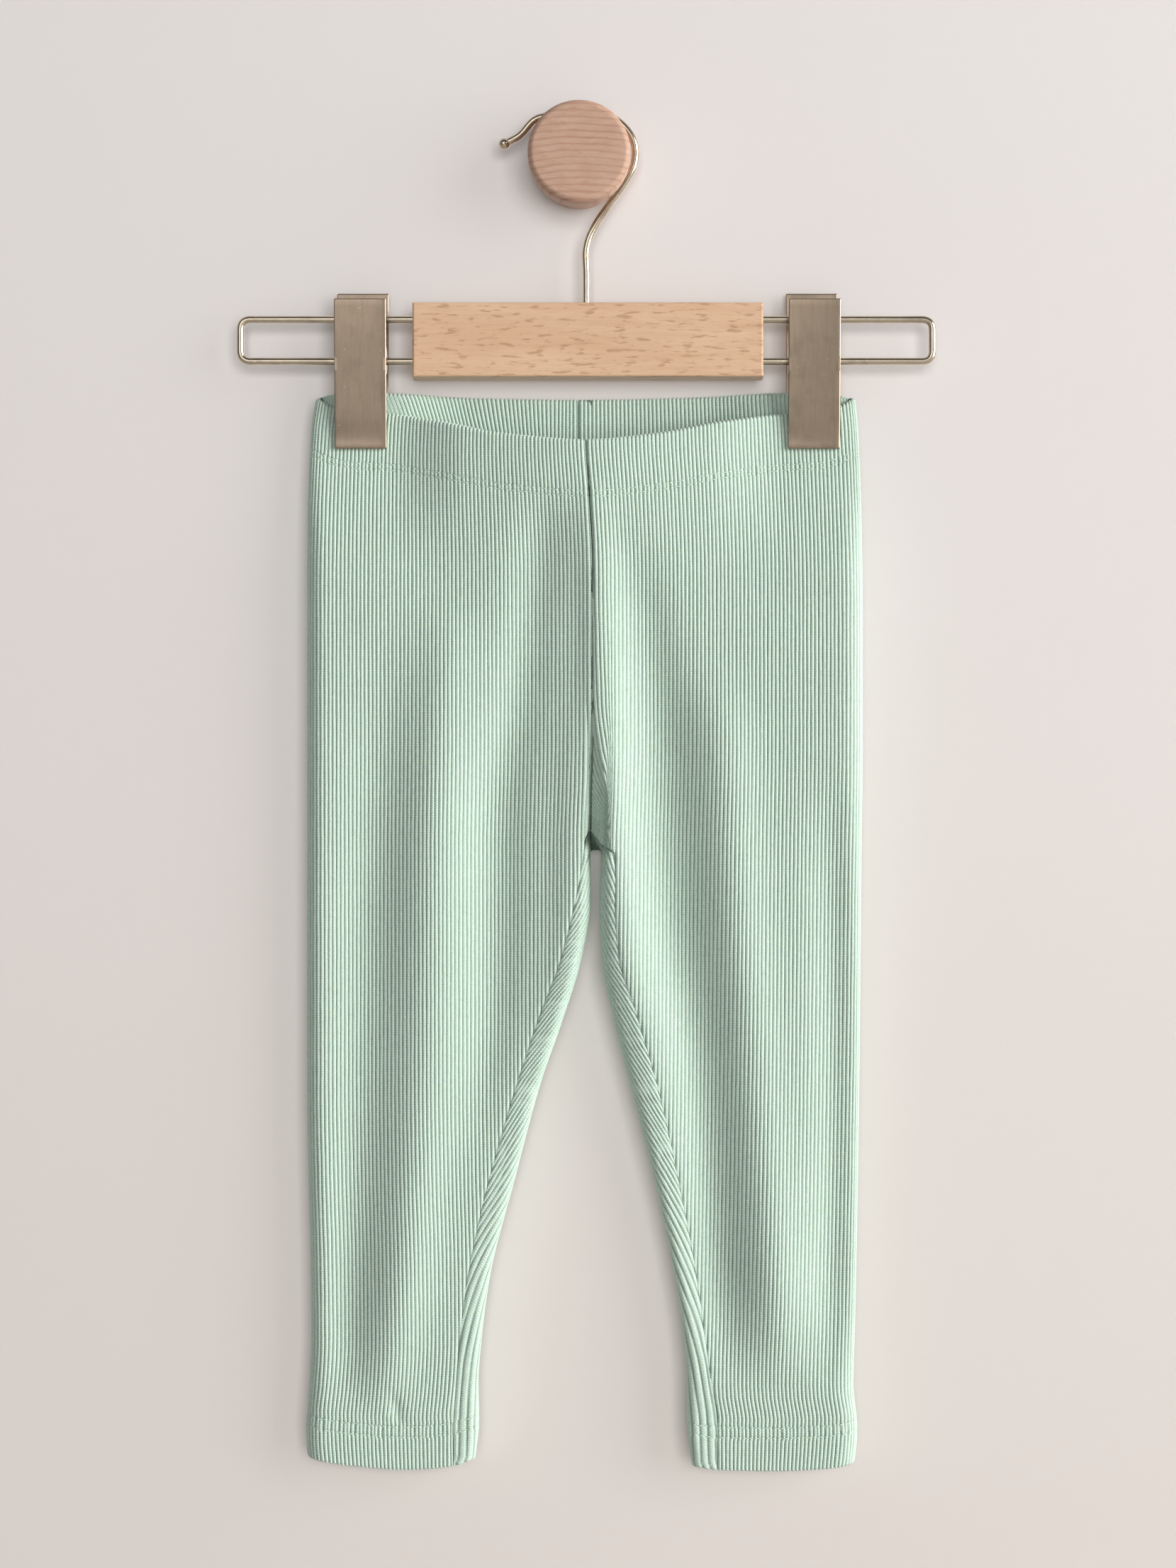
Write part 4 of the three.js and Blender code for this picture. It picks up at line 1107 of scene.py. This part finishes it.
def cloth_material():
    m = Shader("rib_knit_cloth", Roughness=0.92)
    m.set(m.principled, {"Sheen Weight": 0.18, "Sheen Roughness": 0.5, "Specular IOR Level": 0.2})
    at = m.coords()
    rib = m.node("Attribute", {"attribute_name": "rib"}, out=2)
    uv = m.node("UVMap", {"uv_map": "cloth"})
    u, v, _ = m.parts(uv)
    # Painted shade: the rib attribute colours the grooves between the ribs a deeper green than the crests,
    # as shade in the grooves.
    body = m.mix(m.grey(rib, (0.0, 0.0), (0.8, 1.0)), srgb(133, 158, 139), srgb(204, 226, 211))
    fleck = m.noise(at, 850.0, 2.0)
    body = m.mix(m.grey(fleck, (0.54, 0.0), (0.7, 0.42)), body, srgb(178, 202, 208))
    fleck = m.noise(at, 1050.0, 2.0, distortion=0.4)
    body = m.mix(m.grey(fleck, (0.56, 0.0), (0.72, 0.4)), body, srgb(210, 224, 184))
    cloud = m.noise(at, 60.0, 3.0)
    body = m.mix(0.22, body, m.grey(cloud, (0.3, 0.84), (0.7, 1.0)), "MULTIPLY")
    yarn = m.node("CombineXYZ", None, {0: u, 1: m.math("MULTIPLY", v, 0.35)})
    streak = m.noise(yarn, 800.0, 3.0)
    body = m.mix(0.4, body, m.grey(streak, (0.3, 0.76), (0.7, 1.0)), "MULTIPLY")
    m.colour(body)
    # Stitches of the knit: chevrons down each rib
    side = m.math("ABSOLUTE", m.math("SUBTRACT", m.math("FRACT", m.math("DIVIDE", u, PITCH * MM)), 0.5))
    climb = m.math("ADD", m.math("DIVIDE", v, 1.05 * MM), m.math("MULTIPLY", side, 1.3))
    stitch = m.math("SINE", m.math("MULTIPLY", climb, 2 * math.pi))
    fuzz = m.noise(at, 2600.0, 2.0)
    m.bump(m.math("ADD", m.math("MULTIPLY", stitch, 0.4), fuzz), 0.0002, 0.8)
    return m.material


def thread_material():
    m = Shader("sewing_thread", Roughness=0.7)
    at = m.coords()
    ply = m.noise(at, 3000.0, 2.0)
    m.colour(m.mix(m.grey(ply, (0.35, 0.0), (0.65, 1.0)), srgb(186, 209, 190), srgb(206, 227, 210)))
    m.bump(ply, 0.00008, 0.5)
    return m.material


def beech_material():
    """Pale beech: fine pink-brown grain and short darker flecks that lie along the bar."""
    m = Shader("beech_grain", Roughness=0.52)
    m.set(m.principled, {"Specular IOR Level": 0.35})
    along = m.coords((0.09, 1, 1), (0, math.radians(3.0), 0))
    grain = m.noise(along, 260.0, 6.0, 0.62, 0.35)
    broad = m.noise(m.coords((0.16, 1, 1), (0, math.radians(2.0), 0)), 38.0, 3.0, 0.5, 0.8)
    body = m.mix(m.grey(grain, (0.3, 0.0), (0.72, 1.0)), srgb(214, 182, 151), srgb(198, 161, 129))
    body = m.mix(m.grey(broad, (0.35, 0.0), (0.7, 0.5)), body, srgb(206, 167, 136))
    fleck = m.noise(m.coords((0.2, 1, 1), (0, math.radians(-4.0), 0)), 620.0, 2.0, 0.5, 0.2)
    body = m.mix(m.grey(fleck, (0.56, 0.0), (0.65, 0.6)), body, srgb(164, 121, 92))
    pore = m.noise(m.coords((0.14, 1, 1), (0, math.radians(5.0), 0)), 1200.0, 2.0)
    body = m.mix(m.grey(pore, (0.58, 0.0), (0.7, 0.4)), body, srgb(190, 144, 110))
    m.colour(body)
    m.bump(m.math("ADD", grain, m.math("MULTIPLY", fleck, -0.8)), 0.00012, 0.4)
    return m.material


def end_grain_material():
    """The knob: reddish growth lines, slightly arched, across pale wood."""
    m = Shader("turned_beech", Roughness=0.58)
    m.set(m.principled, {"Specular IOR Level": 0.3})
    at = m.coords()
    x, _, z = m.parts(at)
    wander = m.math("MULTIPLY", m.math("SUBTRACT", m.noise(at, 45.0, 2.0), 0.5), 0.0022)
    arch = m.math("MULTIPLY", m.math("MULTIPLY", x, x), 4.2)
    level = m.math("ADD", m.math("ADD", z, arch), wander)
    ring = m.math("FRACT", m.math("DIVIDE", level, 0.0029))
    line = m.grey(ring, (0.0, 0.75), (0.12, 0.15), (0.55, 0.0), (0.82, 0.25), (0.95, 1.0), (1.0, 0.8))
    patchy = m.grey(m.noise(m.coords((0.4, 1, 1)), 90.0, 3.0), (0.3, 0.35), (0.7, 1.0))
    body = m.mix(m.grey(m.noise(m.coords((0.25, 1, 1)), 500.0, 4.0), (0.3, 0.0), (0.7, 1.0)),
                 srgb(191, 159, 139), srgb(179, 145, 124))
    body = m.mix(m.math("MULTIPLY", m.math("MULTIPLY", line, patchy), 0.72), body, srgb(151, 106, 87))
    fleck = m.noise(m.coords((0.3, 1, 1)), 900.0, 2.0)
    body = m.mix(m.grey(fleck, (0.6, 0.0), (0.7, 0.45)), body, srgb(168, 124, 102))
    m.colour(body)
    m.bump(m.math("ADD", line, fleck), 0.0001, 0.3)
    return m.material


def metal_material(name, colour, roughness, stretch, worn=0.0):
    """Plated steel with fine brushing, small specks and dull patches."""
    m = Shader(name, Roughness=roughness, Metallic=1.0)
    brush = m.noise(m.coords(stretch), 900.0, 3.0)
    body = m.mix(m.grey(brush, (0.3, 0.0), (0.7, 1.0)), srgb(*[c * 0.94 for c in colour]), srgb(*colour))
    speck = m.noise(m.coords(), 420.0, 2.0)
    body = m.mix(m.grey(speck, (0.69, 0.0), (0.74, 0.5)), body, srgb(*[min(255, c * 1.2) for c in colour]))
    dull = m.noise(m.coords(), 120.0, 4.0)
    body = m.mix(m.grey(dull, (0.5, 0.0), (0.75, worn)), body, srgb(*[c * 0.6 for c in colour]))
    m.colour(body)
    m.principled.inputs["Anisotropic"].default_value = 0.3
    m.bump(brush, 0.00002, 0.3)
    return m.material


# Stage, light and camera

def make_plane(name, corners):
    points = np.array(corners, float)
    return make_object(name, points, [(0, 1, 2), (0, 2, 3)], flat=True)


def stage_material(name, high, low):
    """Pale plaster, warmer towards the floor and with painted shade towards the left, that is seen through
    from behind.
    """
    m = Shader(name, Roughness=0.9)
    m.principled.inputs["Specular IOR Level"].default_value = 0.15
    x, _, z = m.parts(m.coords())
    height = m.math("ADD", z, 0.9)
    body = m.mix(m.grey(height, (0.2, 0.0), (0.95, 1.0)), srgb(*low), srgb(*high))
    cloud = m.grey(m.noise(m.coords(), 3.0, 4.0), (0.3, 0.985), (0.7, 1.0))
    body = m.mix(1.0, body, cloud, "MULTIPLY")
    # Painted shade: wall and floor are darkened towards the left, copying how the light from the right
    # falls off across them.
    across = m.math("ADD", x, 0.5)
    m.colour(m.mix(1.0, body, m.grey(across, (0.2, 0.915), (0.8, 1.0)), "MULTIPLY"))
    back = m.node("NewGeometry", out=6)
    clear = m.node("BsdfTransparent")
    shown = m.node("MixShader", None, {0: back, 1: m.principled.outputs[0], 2: clear})
    m.tree.links.new(shown, m.tree.nodes["Material Output"].inputs["Surface"])
    return m.material


def area_light(name, at, target, size, watts, colour):
    data = bpy.data.lights.new(name, "AREA")
    data.shape = "RECTANGLE"
    data.size, data.size_y = size
    data.energy = watts
    data.color = colour
    obj = bpy.data.objects.new(name, data)
    bpy.context.scene.collection.objects.link(obj)
    obj.location = at
    obj.rotation_euler = (Vector(target) - Vector(at)).to_track_quat("-Z", "Y").to_euler()
    return obj


camera = bpy.data.cameras.new("camera")
camera.lens = 72.03
camera.sensor_width = 36.0
camera.clip_start = 0.05
camera.clip_end = 30.0
eye = bpy.data.objects.new("camera", camera)
bpy.context.scene.collection.objects.link(eye)
eye.location = (0.00384, -1.372, -0.2703)
eye.rotation_euler = (math.pi / 2, 0, 0)
bpy.context.scene.camera = eye

wall = make_plane("wall", [(-4000, 0.6, -1100), (4000, 0.6, -1100), (4000, 0.6, 2500), (-4000, 0.6, 2500)])
wall.data.materials.append(stage_material("plaster", (223, 219, 217), (220, 213, 207)))
floor = make_plane("floor", [(-4000, -5000, -1100), (4000, -5000, -1100), (4000, 0.6, -1100),
                             (-4000, 0.6, -1100)])
floor.data.materials.append(stage_material("pale_floor", (222, 218, 215), (222, 218, 215)))
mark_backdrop(wall, floor)

key = area_light("key", (6.0, -3.2, 1.0), (0, 0, -0.3), (4.5, 4.5), 770, (1.0, 0.985, 0.975))
fill = area_light("fill", (-1.5, -6.0, 1.5), (0, 0, -0.3), (5.0, 4.0), 88, (0.985, 0.99, 1.0))
soft_key = area_light("wall_key", (6.0, -3.2, 1.0), (0, 0, -0.3), (6.0, 6.0), 240, (1.0, 0.985, 0.975))
soft_fill = area_light("wall_fill", (0.6, -6.0, -0.1), (0, 0, -0.3), (3.2, 3.2), 284, (1.0, 0.995, 1.0))
behind = area_light("behind", (0.8, 4.0, 0.4), (0, 0, -0.3), (3.0, 3.0), 35, (1.0, 0.99, 0.985))

world = bpy.data.worlds.new("studio")
world.use_nodes = True
world.node_tree.nodes["Background"].inputs[0].default_value = srgb(236, 233, 230)
world.node_tree.nodes["Background"].inputs[1].default_value = 0.15
bpy.context.scene.world = world
bpy.context.scene.view_settings.view_transform = "Standard"

# The garment

def add(name, shape, finish, replaces=(), sharp=40.0, clean=True):
    """A piece that rides on the part."""
    points, triangles = mended(*shape) if clean else shape
    piece = make_object(name, points, triangles, sharp=sharp)
    piece.data.materials.append(finish)
    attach(piece, "root")
    if replaces:
        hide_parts(*replaces)
    return piece


cloth = cloth_material()
thread = thread_material()
for side in ("right", "left"):
    leg = LegCloth(side)
    sewn = {
        "waistband": stitches(leg, leg.top_height, WAIST_ROWS, -leg.front_limit, leg.back_limit, 1),
        "hem": stitches(leg, leg.hem_height, HEM_ROWS, -float(leg.reach(True, -549.0)),
                        float(leg.reach(False, -549.0)), -1),
    }
    for node, build in (("waistband", waistband), ("leg", leg_panel), ("hem", hem)):
        places, triangles, uv, rib, cut, group = build(leg)
        piece = make_object(f"{node}_{side}_cloth", places, triangles, uv, rib, group=group)
        piece.data.materials.append(cloth)
        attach(piece, "root")
        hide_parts(f"{node}_{side}")
        extra = []
        if node in sewn:
            extra = [add(f"{node}_{side}_stitches", sewn[node], thread, clean=False)]
        low, high = uv.min(0), uv.max(0)
        length = {"waistband": WAIST_ROWS[1] + 0.2, "hem": HEM_ROWS[1] + 0.2,
                  "leg": float(high[1] - low[1]) / MM}[node] * MM

# The hanger and the knob

nickel = metal_material("satin_nickel", (169, 151, 131), 0.33, (1, 1, 0.04), 0.25)
bright = metal_material("wire_metal", (214, 200, 178), 0.2, (0.3, 1, 0.3), 0.5)
beech = beech_material()
turned = end_grain_material()

knob_line = [(0.0, 19.0), (-6.0, 19.0), (-19.0, 19.0)]
knob_line += [(-19.0 - 1.0 * math.sin(t), 20.0 - 1.0 * math.cos(t)) for t in np.linspace(0.3, 1.57, 5)]
knob_line += [(-21.4 + 1.4 * math.cos(t), 20.6 + 1.4 * math.sin(t)) for t in np.linspace(0, 1.57, 7)]
knob_line += [(-31.4 - 2.6 * math.sin(t), 19.4 + 2.6 * math.cos(t)) for t in np.linspace(0, 1.57, 11)]
knob_line += [(-34.0, 12.0), (-34.0, 5.0)]
add("knob_turned", lathe(knob_line), turned, ["knob"])

over = [(20.9 * 1.012 * math.cos(math.radians(a)), 20.9 * 1.012 * math.sin(math.radians(a)))
        for a in (70, 90, 112)]
hook_path = through([(HOOK_X, -72.8), (HOOK_X, -50), (HOOK_X, -38), (7.6, -27.5), (19, -11), (23.9, -1.5),
                     (23.4, 8.5), (16.8, 16.6), *over, (-18.7, 17.5), (-25.5, 10.6), (-32.4, 6.7)], 9)
add("hook_wire", joined([tube(hook_path, WIRE_R, 24), ball((-32.4, HANG_Y, 6.7), BALL_R)]), bright,
    ["hook"])

block = frame["nodes"]["block"]
block.data.materials.clear()
block.data.materials.append(beech)

for side, out in (("right", -1), ("left", 1)):
    near = BLOCK["x"] + out * (BLOCK["width"] / 2 - FRAME["plug"])
    far = FRAME[side]
    corners = [(near, FRAME["upper"]), (far, FRAME["upper"]), (far, FRAME["lower"]), (near, FRAME["lower"])]
    add(f"wire_{side}_rod", tube(rounded_line(corners, FRAME["bend"]), WIRE_R, 24), bright,
        [f"wire_{side}"])
    x0, x1 = CLIP_X[side] - CLIP_WIDTH / 2, CLIP_X[side] + CLIP_WIDTH / 2
    for face, way in (("front", -1), ("rear", 1)):
        top = CLIP_TOP[face] - SHEET / 2
        rows = [(JAW, 3.7), (-124.2, 3.7), (-112, 4.9), (-90, 6.95), (-76, 8.25), (top, 9.3)]
        heights = np.concatenate([np.linspace(JAW + SHEET / 2, -112, 9), np.linspace(-109, top, 20)])
        line = [(HANG_Y + way * y, z) for z, y in zip(heights, curve(rows, heights))]
        inset, ear = (0.3, 1.0) if face == "front" else (0.3 + 1.0 + GAP, SHEET)
        shapes = [sheet_plate(line, x0, x1, way * SHEET),
                  cheek(x0 + inset, x0 + inset + ear, way), cheek(x1 - inset - ear, x1 - inset, way)]
        shapes = [mended(*shape) for shape in shapes]
        add(f"clip_{face}_{side}_plate", joined(shapes), nickel, [f"clip_{face}_{side}"],
            clean=False)
    length = CLIP_WIDTH - 4 * SHEET - 4 * GAP
    turns = np.linspace(0, 9 * 2 * math.pi, 9 * 26 + 1)
    coil = np.stack([CLIP_X[side] - length / 2 + 0.8 + (length - 1.6) * turns / turns[-1],
                     HANG_Y + 3.1 * np.cos(turns), FRAME["lower"] + 3.1 * np.sin(turns)], 1)
    add(f"clip_spring_{side}_coil", tube(coil, 0.7, 10), nickel, [f"clip_spring_{side}"])

# The wall is lit more softly than what hangs on it, and lets the light behind it through

walls = bpy.data.collections.new("lit_softly")
pieces = bpy.data.collections.new("lit_by_key")
for obj in bpy.context.scene.objects:
    if obj.type == "MESH":
        (walls if obj in (wall, floor) else pieces).objects.link(obj)
for light in (key, fill, behind):
    light.light_linking.receiver_collection = pieces
behind.light_linking.blocker_collection = pieces
for light in (soft_key, soft_fill):
    light.light_linking.receiver_collection = walls

low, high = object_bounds()
